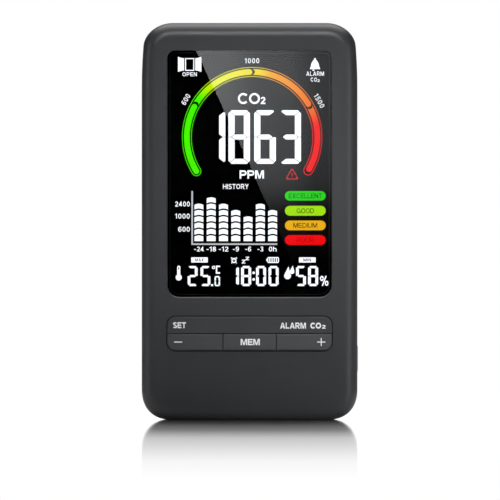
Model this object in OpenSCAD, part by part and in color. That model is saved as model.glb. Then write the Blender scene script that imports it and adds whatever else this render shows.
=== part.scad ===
// Desktop carbon dioxide monitor: a slim upright case with a window over a segment display, a rocker
// and three keys below it, a power button on its right side and a fold-out stand at its back.
// Millimetres. +Z is up, the front faces -Y, and the origin is the centre of the base.

/* [Case] */
// Width of the case
body_w = 81.5; // [80:0.5:84]
// Height of the case
body_h = 150; // [148:1:154]
// Depth from the front face to the back face
body_d = 26; // [26:0.5:28]
// Thickness of the side and back walls
wall = 2.2; // [2:0.1:2.4]
// Thickness of the front wall
front_wall = 2.4; // [2.2:0.1:2.5]
// Depth of the front shell, from the front face to the seam
front_depth = 17; // [17:0.5:18]
// Size of the bottom corners
foot_corner = 12; // [11:0.5:13]
// Width of the top corners
head_corner_w = 10.2; // [9.5:0.1:11]
// Height of the top corners
head_corner_h = 8.7; // [8:0.1:9.5]
// How far each side leans in at the top
head_taper = 1.5; // [1:0.1:1.8]
// Height over which the sides lean in
taper_h = 24.5; // [20:0.5:26]
// Radius of the front edge
front_round = 5.2; // [4.5:0.1:5.5]
// Radius of the back edge
back_round = 4.5; // [4:0.1:5]

/* [Window] */
// Width of the window
lens_w = 62; // [61:0.1:62.2]
// Height of the window
lens_h = 93; // [92:0.1:93.2]
// Height of the window's middle above the base
lens_z = 93; // [92.8:0.1:93.4]
// Radius of the window's top corners
lens_top_r = 2.8; // [2:0.1:4]
// Radius of the window's bottom corners
lens_foot_r = 4.6; // [3:0.1:5]
// Thickness of the window
lens_t = 1.5; // [1.2:0.1:1.6]
// How far the window lies below the front face
lens_recess = 0.4; // [0.3:0.1:0.5]

/* [Keys] */
// Width of the row of keys
keys_w = 61.9; // [60:0.1:62]
// Top of the rocker above the base
keys_top = 39; // [38.8:0.1:39.2]
// Seam between the rocker and the keys
keys_seam = 32.65; // [32.6:0.05:32.7]
// Bottom of the keys
keys_foot = 26.4; // [26:0.1:26.6]
// Half width of the middle key
mem_half = 10.05; // [9.5:0.05:10.5]
// Corner radius of the row of keys
keys_r = 3; // [2.5:0.1:3.5]
// Gap between a key and its neighbour
key_gap = 0.25; // [0.2:0.05:0.3]
// How far the rocker stands proud
rocker_proud = 0.65; // [0.5:0.05:0.8]
// How far the keys stand proud at their lower edge
key_proud = 1.1; // [0.9:0.05:1.2]
// Forward lean of the keys' faces, as depth over height
key_lean = 0.09; // [0.05:0.01:0.1]

/* [Power button] */
// Length of the button
power_len = 10.4; // [9:0.1:11]
// Width of the button
power_wid = 3.6; // [3:0.1:3.8]
// Height of the button's middle above the base
power_z = 23; // [22.5:0.1:23.5]
// How far the button stands proud
power_proud = 0.25; // [0.2:0.05:0.4]

/* [Stand] */
// Width of the stand
stand_w = 44; // [40:0.5:44]
// Height of the stand's hinge above the base
stand_hinge_z = 76; // [75:0.5:77]
// Lower end of the stand
stand_foot_z = 7.8; // [7.6:0.1:9]
// Thickness of the stand
stand_t = 2.3; // [2:0.1:2.4]
// Radius of the hinge pin
stand_pin_r = 1; // [0.9:0.05:1.1]

/* [Board] */
// Half width of the circuit board
board_half = 36; // [35.5:0.1:36.2]
// Thickness of the circuit board
board_t = 1.6; // [1.5:0.1:1.7]
// Thickness of the battery
battery_t = 8; // [6:0.5:8]

/* [Hidden] */

eps = 0.6;
corner_steps = 9;
round_steps = 6;
seam_chamfer = 0.3;
fit_gap = 0.15;

// The front face stands far enough back for the keys to leave the base's middle at the origin.
front_y = -12.5;
back_y = front_y + body_d;
seam_y = front_y + front_depth;
inner_front_y = front_y + front_wall;
inner_back_y = back_y - wall;

// Stack of parts behind the window
lens_back_y = front_y + lens_recess + lens_t;
tape_t = 0.15;
ledge_y = lens_back_y + tape_t;
ledge_back_y = -9;
ledge_wide = 1;
ledge_root = 1.2;
glass_y = -8.9;
glass_t = 2.2;
glass_half_w = 30.3;
glass_half_h = 46.1;
diffuser_t = 0.3;
guide_half_h = 41.6;
board_y = -3;
board_back_y = board_y + board_t;
board_top = 140.2;
holder_floor = 0.6;
holder_half_w = 31.3;
holder_half_h = 47.1;
holder_wall = 0.8;
strip_half_w = 28;
strip_wide = 2.4;
strip_off = 43.9;

// Keys
key_rear_y = -10.8;
key_flange_y = -9.9;
key_flange_t = 0.8;
boss_tip_y = -8;
web_z = keys_seam;
web_half = 1;
web_back_y = -7.9;
rocker_z = (keys_top + keys_seam) / 2;
lower_z = (keys_foot + keys_seam) / 2 - 0.2;
rocker_switch_x = 22;
outer_switch_x = 20.5;
switch_side = 5.2;
switch_t = 3;
plunger_r = 1.6;
plunger_bore_r = 1.75;
plunger_rear_y = -4.3;
bore_floor_y = -3.8;
pin_y = -9.1;
pin_r = 0.9;
pin_run = 0.05;
ear_z = 39.9;
ear_h = 2;

// Power button and its switch
side_x = body_w / 2;
side_inner_x = side_x - wall;
power_y = 0.1;
power_flange_x = 37.45;
power_flange_t = 0.9;
power_tip_x = 37.2;

// Socket on the left side
usb_y = 0.2;
usb_z = 40;
usb_w = 8.94;
usb_t = 3.2;
usb_mouth_x = -40;
usb_back_x = -32.7;

// Screws
case_screw_at = [[-32, 10], [32, 10], [-29, 143.4], [29, 143.4]];
board_screw_at = [[-26, 19.5], [26, 19.5], [-33.7, 50], [33.7, 50], [-33.7, 122], [33.7, 122]];
case_boss_r = 2.5;
cover_boss_r = 3.2;
board_boss_r = 2;
case_screw_r = 1.15;
board_screw_r = 0.8;
screw_gap = 0.05;
screw_seat_y = 10.5;
screw_head_r = 2;
screw_head_t = 1.5;
front_boss_y = 4;

// Back cover
recess_floor_y = 10.9;
recess_back = 1.6;
recess_gap = 0.4;
hinge_y = 11.3;
barrel_r = 2;
hinge_floor_y = 9;
hinge_wall = 1.6;
recess_top_z = stand_hinge_z + barrel_r + 1.2;
key_head_z = 131;
key_slot_z = 137.5;
key_head_r = 4;
key_slot_r = 2.1;
hang_pocket_y = 7.6;
vent_z = 112;
vent_count = 8;
vent_pitch = 2.4;
vent_w = 24;
vent_h = 1.5;
buzzer_x = 25;
buzzer_z = 92;
tongue_t = 1.1;
tongue_len = 1.5;

// Battery and its lead
battery_half_w = 17;
battery_foot_z = 19;
battery_top_z = 69;
battery_back_y = 9.1;
lead_r = 0.65;
plug_x = -24;
plug_z = 73.4;
plug_y = 1.6;
lead_pitch = 2;
red_route = [
    [-6, 4.4, 69], [-6, 4.4, 70.2], [-6.6, 4.2, 71.3], [-8.4, 3.8, 71.9], [-12, 3, 72], [-16, 2.2, 72],
    [-20, 1.8, 72], [-22, 1.6, 72.1], [-22.9, 1.6, 72.7], [-23, 1.6, 73.4]
];
black_route = [
    [-11, 4.4, 69], [-11, 4.4, 69.4], [-11.5, 4.2, 70], [-13, 3.6, 70.3], [-16, 2.6, 70.3],
    [-20, 1.8, 70.3], [-23, 1.6, 70.4], [-24.6, 1.6, 71], [-25, 1.6, 72.2], [-25, 1.6, 73.4]
];

// ---- Outlines, each a counter-clockwise list of [x, z] seen from the front ----

// Quarter of a superellipse of half axes a and b, from its lowest point to its side
function quarter(a, b, n) = [for (i = [0:corner_steps]) let (t = 90 * i / corner_steps)
    [a * pow(sin(t), 2 / n), b - b * pow(cos(t), 2 / n)]];

// How far the side leans in at height z
function lean_in(z) = head_taper * pow(max(0, (z - body_h + taper_h) / taper_h), 2);

// Right half of the case's outline, from the base's middle up
function right_side() = concat(
    [for (p = quarter(foot_corner, foot_corner, 2.4)) [body_w / 2 - foot_corner + p.x, p.y]],
    [for (i = [0:4]) [body_w / 2, body_h - taper_h + i * (taper_h - head_corner_h) / 5]],
    [for (i = [0:corner_steps]) let (t = 90 * i / corner_steps)
        [body_w / 2 - head_corner_w * (1 - cos(t)), body_h - head_corner_h * (1 - sin(t))]]);

function case_outline() = let (half = [for (p = right_side()) [p.x - lean_in(p.y), p.y]])
    concat(half, [for (i = [len(half) - 1:-1:0]) [-half[i].x, half[i].y]]);

// A path moved inwards by d, along the normals that its neighbours give
function inset(path, d) = let (n = len(path)) [for (i = [0:n - 1])
    let (t = path[(i + 1) % n] - path[(i + n - 1) % n]) path[i] + d * [-t.y, t.x] / norm(t)];

// Rectangle from low to high with corner radii [low right, high right, high left, low left]
function round_box(low, high, radii, steps = round_steps) = [for (k = [0:3])
    let (r = radii[k], sx = (k == 0 || k == 1) ? 1 : -1, sz = (k == 1 || k == 2) ? 1 : -1,
        cx = (sx > 0 ? high.x : low.x) - sx * r, cz = (sz > 0 ? high.y : low.y) - sz * r)
    for (i = [0:steps]) let (t = 90 * (k - 1) + 90 * i / steps) [cx + r * cos(t), cz + r * sin(t)]];

function even_box(cx, cz, w, h, r) =
    round_box([cx - w / 2, cz - h / 2], [cx + w / 2, cz + h / 2], [r, r, r, r]);

function lens_path(grow) = round_box([-lens_w / 2 - grow, lens_z - lens_h / 2 - grow],
    [lens_w / 2 + grow, lens_z + lens_h / 2 + grow],
    [lens_foot_r + grow, lens_top_r + grow, lens_top_r + grow, lens_foot_r + grow]);

// ---- Solids ----

// Prism of a path between two depths
module plate(path, y0, y1) {
    translate([0, y1, 0]) rotate([90, 0, 0]) linear_extrude(y1 - y0) polygon(path);
}

// Solid through rings of [path, depth, lean], which hold equal numbers of points, from front to back.
// A ring leans forward by lean times the height below lean_z.
module stack(rings, lean_z = 0) {
    n = len(rings[0][0]);
    m = len(rings);
    points = [for (r = rings) for (p = r[0]) [p.x, r[1] + (len(r) > 2 ? r[2] : 0) * (p.y - lean_z), p.y]];
    front = [[for (i = [n - 1:-1:0]) i]];
    back = [[for (i = [0:n - 1]) (m - 1) * n + i]];
    sides = [for (j = [0:m - 2]) for (i = [0:n - 1]) let (k = (i + 1) % n)
        [j * n + i, j * n + k, (j + 1) * n + k, (j + 1) * n + i]];
    polyhedron(points, concat(front, sides, back));
}

// Box between two corners
module block(low, high) {
    translate(low) cube(high - low);
}

// Cylinder along Y between two depths
module rod_y(x, z, r, y0, y1) {
    translate([x, y1, z]) rotate([90, 0, 0]) cylinder(r = r, h = y1 - y0, $fn = 48);
}

// Cylinder along X between two places
module rod_x(y, z, r, x0, x1) {
    translate([x0, y, z]) rotate([0, 90, 0]) cylinder(r = r, h = x1 - x0, $fn = 48);
}

// Tube of a lead along a route that never runs straight along Y
module lead(route, r) {
    sides = 8;
    m = len(route);
    points = [for (i = [0:m - 1])
        let (step = route[min(i + 1, m - 1)] - route[max(i - 1, 0)], t = step / norm(step),
            across = cross(t, [0, 1, 0]), u = across / norm(across), v = cross(t, u))
        for (k = [0:sides - 1]) route[i] + r * (cos(360 * k / sides) * u + sin(360 * k / sides) * v)];
    walls = [for (j = [0:m - 2]) for (k = [0:sides - 1]) let (l = (k + 1) % sides)
        [j * sides + k, (j + 1) * sides + k, (j + 1) * sides + l, j * sides + l]];
    polyhedron(points, concat([[for (k = [0:sides - 1]) k]], walls,
        [[for (k = [sides - 1:-1:0]) (m - 1) * sides + k]]));
}

// Rings of a quarter-round edge of radius r, on a path inset by 0 at the side
function edge_rings(path, y, r, into) = [for (i = [0:round_steps]) let (u = 90 * i / round_steps)
    [inset(path, r * (1 - sin(u))), y + into * r * (1 - cos(u))]];

function reversed(list) = [for (i = [len(list) - 1:-1:0]) list[i]];

// ---- Case ----

module front_skin() {
    path = case_outline();
    stack(concat(edge_rings(path, front_y, front_round, 1),
        [[path, seam_y - seam_chamfer], [inset(path, seam_chamfer), seam_y]]));
}

module lens_pocket() {
    stack([[lens_path(1), front_y - eps], [lens_path(0.6), front_y - 0.02],
        [lens_path(fit_gap), front_y + 0.4], [lens_path(fit_gap), ledge_y]]);
    plate(lens_path(-ledge_wide), ledge_y - eps, ledge_back_y + eps);
}

module keys_opening() {
    plate(round_box([-keys_w / 2 - key_gap, keys_foot - key_gap], [keys_w / 2 + key_gap, keys_top + key_gap],
        [for (k = [0:3]) keys_r + key_gap]), front_y - eps, inner_front_y + eps);
}

module front_shell() color("#3b3c3e") union() {
    front_case();
    rocker_bearing();
}

module front_case() difference() {
    union() {
        difference() {
            front_skin();
            plate(inset(case_outline(), wall), inner_front_y, seam_y + eps);
        }
        plate(lens_path(ledge_root), inner_front_y - eps, ledge_back_y);
        for (p = case_screw_at) rod_y(p.x, p.y, case_boss_r, inner_front_y - eps, front_boss_y);
        for (p = board_screw_at) rod_y(p.x, p.y, board_boss_r, inner_front_y - eps, board_y);
    }
    lens_pocket();
    keys_opening();
    for (p = case_screw_at) rod_y(p.x, p.y, case_screw_r + screw_gap, -3, front_boss_y + eps);
    for (p = board_screw_at) rod_y(p.x, p.y, board_screw_r + screw_gap, -7, board_y + eps);
    power_slot(fit_gap, side_x - wall - eps, side_x + eps);
    socket_slot(0.3, -side_x - eps, -side_x + wall + eps);
}

// Rib behind the keys that carries the rocker's pin, with the ear above them
module rocker_bearing() {
    difference() {
        union() {
            block([-keys_w / 2 - 3.5, inner_front_y, web_z - web_half],
                [keys_w / 2 + 3.5, web_back_y, web_z + web_half]);
            block([-2.4, inner_front_y - eps, ear_z], [2.4, web_back_y + 0.5, ear_z + ear_h]);
            block([-2.4, pin_y, web_z - web_half], [2.4, web_back_y + 0.5, web_z + web_half]);
        }
        translate([0, pin_y, web_z - web_half - eps]) cylinder(r = pin_r, h = 12, $fn = 48);
    }
}

module rear_skin() {
    path = case_outline();
    stack(concat([[inset(path, seam_chamfer), seam_y], [path, seam_y + seam_chamfer]],
        reversed(edge_rings(path, back_y, back_round, -1))));
}

module tongue() {
    difference() {
        plate(inset(case_outline(), wall + fit_gap), seam_y - tongue_len, seam_y + eps);
        plate(inset(case_outline(), wall + fit_gap + tongue_t), seam_y - tongue_len - eps, seam_y + 2 * eps);
    }
}

module rear_cover() color("#37383a") difference() {
    half = stand_w / 2 + recess_gap;
    union() {
        difference() {
            rear_skin();
            plate(inset(case_outline(), wall), seam_y - eps, inner_back_y);
        }
        plate_ring_base();
        tongue();
        for (p = case_screw_at) rod_y(p.x, p.y, cover_boss_r, front_boss_y + 0.2, inner_back_y + eps);
        block([-half - 1.6, recess_floor_y - recess_back, 2],
            [half + 1.6, inner_back_y + eps, recess_top_z + 1.6]);
        block([-half - 1.6, hinge_floor_y - hinge_wall, stand_hinge_z - 5],
            [half + 1.6, inner_back_y + eps, recess_top_z + 1.6]);
        block([-6.4, hang_pocket_y - 1.2, key_head_z - 6.2], [6.4, inner_back_y + eps, key_slot_z + 6.8]);
    }
    stand_recess(half);
    hanger_hole();
    vents();
    for (p = case_screw_at) {
        rod_y(p.x, p.y, case_screw_r + 0.15, front_boss_y - eps, back_y + eps);
        rod_y(p.x, p.y, screw_head_r + 0.3, screw_seat_y, back_y + eps);
    }
}

// Widens the tongue's root so that it joins the cover's wall
module plate_ring_base() {
    difference() {
        plate(inset(case_outline(), wall - 0.4), seam_y + seam_chamfer, seam_y + 1);
        plate(inset(case_outline(), wall + fit_gap + tongue_t), seam_y - eps, seam_y + 1 + eps);
    }
}

module stand_recess(half) {
    plate(round_box([-half, stand_foot_z - recess_gap], [half, recess_top_z], [2.6, 0.8, 0.8, 2.6]),
        recess_floor_y, back_y + eps);
    block([-half, hinge_floor_y, stand_hinge_z - 3.4], [half, back_y, recess_top_z]);
    rod_y(0, 9.9, 7, recess_floor_y, back_y + eps);
    rod_x(hinge_y, stand_hinge_z, stand_pin_r, -half - 1.2, half + 1.2);
}

module hanger_hole() {
    rod_y(0, key_head_z, key_head_r, hang_pocket_y, back_y + eps);
    rod_y(0, key_slot_z, key_slot_r, hang_pocket_y, back_y + eps);
    block([-key_slot_r, hang_pocket_y, key_head_z], [key_slot_r, back_y + eps, key_slot_z]);
    block([-5.2, hang_pocket_y, key_head_z - 5], [5.2, inner_back_y, key_slot_z + 5.6]);
}

module vents() {
    for (i = [0:vent_count - 1])
        plate(even_box(0, vent_z + (i - (vent_count - 1) / 2) * vent_pitch, vent_w, vent_h, vent_h / 2 - 0.01),
            inner_back_y - eps, back_y + eps);
    for (a = [0:60:300])
        rod_y(buzzer_x + 3 * cos(a), buzzer_z + 3 * sin(a), 0.7, inner_back_y - eps, back_y + eps);
    rod_y(buzzer_x, buzzer_z, 0.7, inner_back_y - eps, back_y + eps);
}

module case_screws() color("#b8bac0") for (p = case_screw_at) difference() {
    union() {
        rod_y(p.x, p.y, screw_head_r, screw_seat_y, screw_seat_y + screw_head_t);
        rod_y(p.x, p.y, case_screw_r, -1.5, screw_seat_y + 0.2);
    }
    for (a = [0, 90]) translate([p.x, screw_seat_y + screw_head_t, p.y]) rotate([0, a, 0])
        cube([2.4, 1.6, 0.5], center = true);
}

// ---- Window and display ----

module display_lens() color("#101114")
    stack([[lens_path(-0.3), front_y + lens_recess], [lens_path(0), front_y + lens_recess + 0.3],
        [lens_path(0), lens_back_y]]);

module lens_adhesive() color("#1b1c1e") difference() {
    plate(lens_path(-0.1), lens_back_y, ledge_y);
    plate(lens_path(-ledge_wide + 0.15), lens_back_y - eps, ledge_y + eps);
}

module lcd_glass() color("#141821")
    plate(even_box(0, lens_z, 2 * glass_half_w, 2 * glass_half_h, 0.4), glass_y, glass_y + glass_t);

module diffuser_sheet() color("#f4f5f6")
    plate(even_box(0, lens_z, 2 * glass_half_w - 1, 2 * guide_half_h, 0.4), glass_y + glass_t,
        glass_y + glass_t + diffuser_t);

module light_guide() color("#e8f0f4")
    block([0.4 - glass_half_w, glass_y + glass_t + diffuser_t, lens_z - guide_half_h],
        [glass_half_w - 0.4, board_y - holder_floor - 0.1, lens_z + guide_half_h]);

module lcd_holder() color("#f2f2ee") difference() {
    plate(even_box(0, lens_z, 2 * holder_half_w, 2 * holder_half_h, 1.2), glass_y, board_y);
    plate(even_box(0, lens_z, 2 * (holder_half_w - holder_wall), 2 * (holder_half_h - holder_wall), 0.6),
        glass_y - eps, board_y - holder_floor);
    for (s = [-1, 1]) block([-strip_half_w - 0.2, glass_y, lens_z + s * strip_off - strip_wide / 2 - 0.1],
        [strip_half_w + 0.2, board_y + eps, lens_z + s * strip_off + strip_wide / 2 + 0.1]);
    block([-strip_half_w, glass_y, lens_z - guide_half_h - 1.3],
        [strip_half_w, board_y + eps, lens_z - guide_half_h]);
}

module backlight_leds() color("#fdfbe8") for (i = [-2:2])
    block([i * 11 - 1.5, board_y - 1.6, lens_z - guide_half_h - 1],
        [i * 11 + 1.5, board_y, lens_z - guide_half_h - 0.1]);

module contact_strips() color("#c9a2ab") for (s = [-1, 1])
    block([-strip_half_w, glass_y + glass_t, lens_z + s * strip_off - strip_wide / 2],
        [strip_half_w, board_y, lens_z + s * strip_off + strip_wide / 2]);

// ---- Circuit board ----

module main_board() color("#1f6b3c") difference() {
    plate([[-board_half, 16], [board_half, 16], [board_half, 136], [board_half - 4, board_top],
        [4 - board_half, board_top], [-board_half, 136]], board_y, board_back_y);
    for (p = board_screw_at) rod_y(p.x, p.y, board_screw_r + 0.2, board_y - eps, board_back_y + eps);
}

module board_screws() color("#b8bac0") for (p = board_screw_at) difference() {
    union() {
        rod_y(p.x, p.y, 1.7, board_back_y, board_back_y + 1);
        rod_y(p.x, p.y, board_screw_r, -6.5, board_back_y + 0.2);
    }
    for (a = [0, 90]) translate([p.x, board_back_y + 1, p.y]) rotate([0, a, 0])
        cube([2, 1, 0.4], center = true);
}

module processor() color("#1c1d1f") {
    plate(even_box(-25, 58, 10, 10, 0.6), board_back_y, board_back_y + 1.4);
    plate(even_box(26, 106, 5, 6, 0.3), board_back_y, board_back_y + 1.2);
    plate(even_box(-26, 92, 5, 6, 0.3), board_back_y, board_back_y + 1.2);
}

module board_parts() color("#b69a6a") {
    for (i = [0:5]) block([-31 + 2.6 * i, board_back_y, 46.4], [-29.4 + 2.6 * i, board_back_y + 0.8, 47.2]);
    for (i = [0:4]) block([21 + 2.8 * i, board_back_y, 113], [22.6 + 2.8 * i, board_back_y + 0.8, 113.8]);
    for (i = [0:3]) block([-30.5, board_back_y, 97.5 + 2.6 * i], [-29.5, board_back_y + 0.8, 99.1 + 2.6 * i]);
    block([22, board_back_y, 66], [27, board_back_y + 2.4, 71]);
}

module humidity_sensor() color("#d9d9d4")
    difference() {
        block([-22, board_back_y, 130], [-19, board_back_y + 1, 133]);
        rod_y(-20.5, 131.5, 0.6, board_back_y + 0.6, board_back_y + 2);
    }

module buzzer() color("#17181a") difference() {
    rod_y(buzzer_x, buzzer_z, 6, board_back_y, board_back_y + 7.5);
    rod_y(buzzer_x, buzzer_z, 1, board_back_y + 4, board_back_y + 8);
}

// ---- Carbon dioxide sensor ----

module co2_board() color("#1d5f8a") block([-17, 1.2, vent_z - 10.5], [17, 2.2, vent_z + 10.5]);

module co2_pins() color("#d8b45a") for (s = [-1, 1]) for (i = [-2:2])
    block([s * 15.6 - 0.32, board_back_y, vent_z + 2.54 * i - 0.32],
        [s * 15.6 + 0.32, 1.2, vent_z + 2.54 * i + 0.32]);

module co2_chamber() color("#d9b877")
    stack([[even_box(0, vent_z, 28, 17.5, 1.5), 2.2], [even_box(0, vent_z, 28, 17.5, 1.5), 7.9],
        [even_box(0, vent_z, 26.8, 16.3, 0.9), 8.5]]);

module co2_filter() color("#f6f6f3") plate(even_box(0, vent_z, 20, 10, 1), 8.5, 8.8);

module vent_gasket() color("#26272a") difference() {
    plate(even_box(0, vent_z, 31.4, 20.8, 1.8), 2.2, inner_back_y);
    plate(even_box(0, vent_z, 28.8, 18.4, 1.7), 2, inner_back_y + eps);
}

// ---- Battery ----

module battery() color("#9aa0a8") {
    path = even_box(0, (battery_foot_z + battery_top_z) / 2, 2 * battery_half_w,
        battery_top_z - battery_foot_z, 1.5);
    front = battery_back_y - battery_t;
    stack([[inset(path, 1), front], [inset(path, 0.3), front + 0.5], [path, front + 1.2],
        [path, battery_back_y - 1.2], [inset(path, 0.3), battery_back_y - 0.5], [inset(path, 1), battery_back_y]]);
}

module battery_tape() color("#e7e2d2")
    plate(even_box(0, 44, 24, 40, 1), battery_back_y, recess_floor_y - recess_back);

module battery_lead_red() color("#b3241f") lead(red_route, lead_r);

module battery_lead_black() color("#1a1a1b") lead(black_route, lead_r);

module battery_plug() color("#f0efe9")
    block([plug_x - 2.6, plug_y - 1.6, plug_z], [plug_x + 2.6, plug_y + 1.6, plug_z + 7]);

module battery_socket() color("#e9e6db") difference() {
    block([plug_x - 4, board_back_y, plug_z + 1.6], [plug_x + 4, plug_y + 2.4, plug_z + 8.2]);
    block([plug_x - 2.7, plug_y - 1.7, plug_z], [plug_x + 2.7, plug_y + 1.7, plug_z + 7.1]);
}

// ---- Keys ----

// Cap with rounded edges between two corners. Its face leans forward towards its foot.
module key_cap(low, high, radii, face_y, lean) {
    path = round_box(low, high, radii);
    edge = 0.4;
    stack([[inset(path, edge), face_y, lean], [inset(path, edge * 0.3), face_y + edge * 0.3, lean],
        [path, face_y + edge, lean], [path, key_rear_y]], high.y);
}

// Boss that meets a switch's plunger
module key_boss(x, z) {
    rod_y(x, z, 1.5, key_rear_y - eps, boss_tip_y);
}

module set_alarm_rocker() color("#393a3e") difference() {
    union() {
        key_cap([-keys_w / 2, keys_seam + key_gap / 2], [keys_w / 2, keys_top], [0.3, keys_r, keys_r, 0.3],
            front_y - rocker_proud, 0);
        block([-2.2, key_rear_y - eps, web_z + web_half + 0.3], [2.2, web_back_y + 0.1, keys_top - 0.1]);
        for (s = [-1, 1]) key_boss(s * rocker_switch_x, rocker_z);
    }
    translate([0, pin_y, web_z]) cylinder(r = pin_r + pin_run, h = 8, $fn = 48);
}

module rocker_pin() color("#c4c6ca")
    translate([0, pin_y, web_z - web_half]) cylinder(r = pin_r, h = ear_z + ear_h - web_z + web_half, $fn = 48);

// Key of the lower row, held in the shell by a flange along its foot
module lower_key(x0, x1, radii, boss_x) {
    top_y = front_y - key_proud + key_lean * (keys_seam - keys_foot);
    key_cap([x0, keys_foot], [x1, keys_seam - key_gap / 2], radii, top_y, key_lean);
    block([x0 + 1.8, key_rear_y - eps, keys_foot + 0.3],
        [x1 - 1.8, key_flange_y + key_flange_t, web_z - web_half - 0.3]);
    block([x0 + 1, key_flange_y, keys_foot - 1.4], [x1 - 1, key_flange_y + key_flange_t, keys_foot + 1]);
    key_boss(boss_x, lower_z);
}

module minus_key() color("#404246")
    lower_key(-keys_w / 2, -mem_half - key_gap / 2, [0.3, 0.3, 0.3, keys_r], -outer_switch_x);

module mem_key() color("#404246")
    lower_key(-mem_half + key_gap / 2, mem_half - key_gap / 2, [0.3, 0.3, 0.3, 0.3], 0);

module plus_key() color("#404246")
    lower_key(mem_half + key_gap / 2, keys_w / 2, [keys_r, 0.3, 0.3, 0.3], outer_switch_x);

// Places of the five switches behind the front keys
switch_at = [[-rocker_switch_x, rocker_z], [rocker_switch_x, rocker_z], [-outer_switch_x, lower_z], [0, lower_z],
    [outer_switch_x, lower_z]];

module key_switches() color("#222326") for (p = switch_at) difference() {
    plate(even_box(p.x, p.y, switch_side, switch_side, 0.4), board_y - switch_t, board_y);
    rod_y(p.x, p.y, plunger_bore_r, board_y - switch_t - eps, bore_floor_y);
}

module plunger(x, z) {
    rod_y(x, z, plunger_r, boss_tip_y, plunger_rear_y);
}

module rocker_plungers() color("#d8d5c9") for (s = [-1, 1]) plunger(s * rocker_switch_x, rocker_z);

module minus_plunger() color("#d8d5c9") plunger(-outer_switch_x, lower_z);

module mem_plunger() color("#d8d5c9") plunger(0, lower_z);

module plus_plunger() color("#d8d5c9") plunger(outer_switch_x, lower_z);

// ---- Power button ----

// Turns a shape drawn in the front plane to face the right side, with its middle at the button's
module facing_right(x1) {
    translate([x1, power_y, power_z]) rotate([0, 0, 90]) children();
}

module power_slot(grow, x0, x1) {
    facing_right(x1) plate(even_box(0, 0, power_wid + 2 * grow, power_len + 2 * grow, 1.2 + grow), 0, x1 - x0);
}

module power_button() color("#3d3e41") {
    path = even_box(0, 0, power_wid, power_len, 1.2);
    face = side_x + power_proud;
    facing_right(face) stack([[inset(path, 0.5), 0], [inset(path, 0.15), 0.15], [path, 0.5],
        [path, face - power_flange_x - power_flange_t / 2]]);
    facing_right(power_flange_x + power_flange_t) plate(even_box(0, 0, power_wid + 1.4, power_len + 2, 1.4), 0,
        power_flange_t);
    rod_x(power_y, power_z, 1, power_tip_x, power_flange_x + eps / 2);
}

module power_switch() color("#cfd1d4") difference() {
    block([33, board_back_y, power_z - 3], [36.3, board_back_y + 3, power_z + 3]);
    rod_x(power_y, power_z, 1, 34.6, 36.3 + eps);
}

module power_plunger() color("#222326") rod_x(power_y, power_z, 0.9, 35.1, power_tip_x);

// ---- USB socket ----

module socket_slot(grow, x0, x1) {
    for (s = [-1, 1]) rod_x(usb_y, usb_z + s * (usb_w - usb_t) / 2, usb_t / 2 + grow, x0, x1);
    block([x0, usb_y - usb_t / 2 - grow, usb_z - (usb_w - usb_t) / 2],
        [x1, usb_y + usb_t / 2 + grow, usb_z + (usb_w - usb_t) / 2]);
}

module usb_shell() color("#b9bcc2") difference() {
    socket_slot(0, usb_mouth_x, usb_back_x);
    socket_slot(-0.3, usb_mouth_x - eps, usb_back_x - 0.8);
}

module usb_tongue() color("#202124")
    block([-38.8, usb_y - 0.35, usb_z - 3.3], [usb_back_x - 0.8, usb_y + 0.35, usb_z + 3.3]);

// ---- Stand ----

// Outline of the stand's plate, drawn in by d at its sides and foot
function stand_path(d) = round_box([d - stand_w / 2, stand_foot_z + d], [stand_w / 2 - d, stand_hinge_z - 1],
    [2.4 - d, 0.6 - d, 0.6 - d, 2.4 - d]);

module stand() color("#343538") difference() {
    union() {
        stack([[stand_path(0), back_y - 0.1 - stand_t], [stand_path(0), back_y - 0.5],
            [stand_path(0.4), back_y - 0.1]]);
        rod_x(hinge_y, stand_hinge_z, barrel_r, -stand_w / 2, stand_w / 2);
    }
    rod_x(hinge_y, stand_hinge_z, stand_pin_r + 0.05, -stand_w / 2 - eps, stand_w / 2 + eps);
}

module stand_pin() color("#c4c6ca")
    rod_x(hinge_y, stand_hinge_z, stand_pin_r, -stand_w / 2 - recess_gap - 1.2, stand_w / 2 + recess_gap + 1.2);

front_shell();
rear_cover();
display_lens();
lens_adhesive();
lcd_glass();
diffuser_sheet();
light_guide();
lcd_holder();
backlight_leds();
contact_strips();
main_board();
board_screws();
case_screws();
set_alarm_rocker();
rocker_pin();
rocker_plungers();
minus_key();
minus_plunger();
mem_key();
mem_plunger();
plus_key();
plus_plunger();
key_switches();
power_button();
power_plunger();
power_switch();
usb_shell();
usb_tongue();
co2_board();
co2_chamber();
co2_filter();
co2_pins();
vent_gasket();
humidity_sensor();
buzzer();
processor();
board_parts();
battery();
battery_tape();
battery_lead_red();
battery_lead_black();
battery_plug();
battery_socket();
stand();
stand_pin();
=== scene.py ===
"""Looks of the desktop carbon dioxide monitor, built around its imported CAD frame.

Shapes are drawn in millimetres, x to the right and z up as seen from the front, and y from front to back.
"""

import math

import bmesh
import bpy
from mathutils import Matrix, Vector


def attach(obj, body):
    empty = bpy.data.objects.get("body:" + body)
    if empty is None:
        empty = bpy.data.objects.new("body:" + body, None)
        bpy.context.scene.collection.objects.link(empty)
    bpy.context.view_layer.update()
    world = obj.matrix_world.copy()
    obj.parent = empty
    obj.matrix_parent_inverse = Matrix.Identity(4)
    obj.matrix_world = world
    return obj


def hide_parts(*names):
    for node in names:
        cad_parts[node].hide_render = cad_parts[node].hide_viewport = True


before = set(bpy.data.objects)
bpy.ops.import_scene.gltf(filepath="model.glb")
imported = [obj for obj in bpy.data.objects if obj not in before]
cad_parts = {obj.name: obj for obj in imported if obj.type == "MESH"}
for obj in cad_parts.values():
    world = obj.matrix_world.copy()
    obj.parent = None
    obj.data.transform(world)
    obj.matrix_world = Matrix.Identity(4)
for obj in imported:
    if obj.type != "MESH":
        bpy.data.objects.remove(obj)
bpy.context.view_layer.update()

MM = 0.001

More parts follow.
